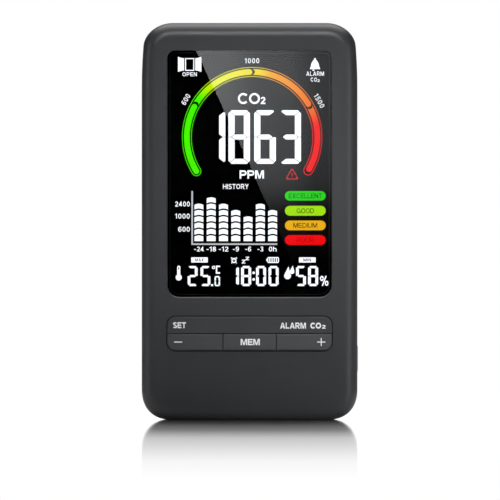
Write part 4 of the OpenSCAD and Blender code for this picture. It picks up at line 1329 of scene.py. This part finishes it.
def make_glare():
    material, nodes, links, emission = plain_emission("glare_light", (1, 1, 1), GLARE_POWER)
    coords = nodes.new("ShaderNodeTexCoord")
    split = nodes.new("ShaderNodeSeparateXYZ")
    links.new(coords.outputs["Object"], split.inputs["Vector"])
    colors = []
    for axis, (low, high), stops in (("X", (-22, 33), GLARE_ACROSS), ("Z", (55, 141), GLARE_DOWN)):
        share = nodes.new("ShaderNodeMapRange")
        ends = [glare_point(low, low), glare_point(high, high)]
        for socket, end in zip(("From Min", "From Max"), ends):
            share.inputs[socket].default_value = end.x if axis == "X" else end.z
        links.new(split.outputs[axis], share.inputs["Value"])
        ramp = nodes.new("ShaderNodeValToRGB")
        elements = ramp.color_ramp.elements
        while len(elements) < len(stops):
            elements.new(0.5)
        for element, (at, level) in zip(elements, stops):
            element.position = (at - low) / (high - low)
            element.color = (0.97 * level, 0.985 * level, level, 1)
        links.new(share.outputs["Result"], ramp.inputs["Fac"])
        colors.append(ramp.outputs["Color"])
    product = nodes.new("ShaderNodeVectorMath")
    product.operation = "MULTIPLY"
    links.new(colors[0], product.inputs[0])
    links.new(colors[1], product.inputs[1])
    links.new(product.outputs["Vector"], emission.inputs["Color"])
    corners = [(-20.7, 140.2), (-20.3, 139.4), (-1.0, 98.6), (7, 80.5), (17.6, 56), (33, 56), (33, 140.2)]
    panel = flat_panel("glare_panel", [glare_point(x, z) for x, z in corners], material)
    for flag in ("visible_camera", "visible_diffuse", "visible_transmission", "visible_shadow",
                 "visible_volume_scatter"):
        setattr(panel, flag, False)


make_glare()

# White backdrop for the floor's shine
backdrop_material, nodes, links, emission = plain_emission("backdrop_light", (1, 1, 1), 1.1)
side, front_only = nodes.new("ShaderNodeNewGeometry"), nodes.new("ShaderNodeMixShader")
links.new(side.outputs["Backfacing"], front_only.inputs["Fac"])
links.new(nodes.new("ShaderNodeBsdfTransparent").outputs["BSDF"], front_only.inputs[1])
links.new(emission.outputs["Emission"], front_only.inputs[2])
surface = next(n for n in nodes if n.type == "OUTPUT_MATERIAL").inputs["Surface"]
links.new(front_only.outputs["Shader"], surface)
backdrop = flat_panel("backdrop", [(-0.3, 0.7, -0.02), (-0.3, 0.7, 0.4), (0.3, 0.7, 0.4),
                                   (0.3, 0.7, -0.02)], backdrop_material)
backdrop.visible_camera = False
backdrop.visible_shadow = False

world = bpy.data.worlds.new("studio")
scene.world = world
world.use_nodes = True
tree = world.node_tree
tree.nodes.clear()
out, mix, path, seen, dim, coords, split, share = (tree.nodes.new(t) for t in (
    "ShaderNodeOutputWorld", "ShaderNodeMixShader", "ShaderNodeLightPath", "ShaderNodeBackground",
    "ShaderNodeBackground",
    "ShaderNodeTexCoord", "ShaderNodeSeparateXYZ", "ShaderNodeMapRange"))
seen.inputs["Color"].default_value, seen.inputs["Strength"].default_value = (1, 1, 1, 1), 1.0
# dark in front, so that the window stays black
share.inputs["From Min"].default_value, share.inputs["From Max"].default_value = -0.75, -0.2
share.inputs["To Min"].default_value, share.inputs["To Max"].default_value = 0.0, 0.03
tree.links.new(coords.outputs["Generated"], split.inputs["Vector"])
tree.links.new(split.outputs["Y"], share.inputs["Value"])
tree.links.new(share.outputs["Result"], dim.inputs["Strength"])
tree.links.new(path.outputs["Is Camera Ray"], mix.inputs["Fac"])
tree.links.new(dim.outputs["Background"], mix.inputs[1])
tree.links.new(seen.outputs["Background"], mix.inputs[2])
tree.links.new(mix.outputs["Shader"], out.inputs["Surface"])
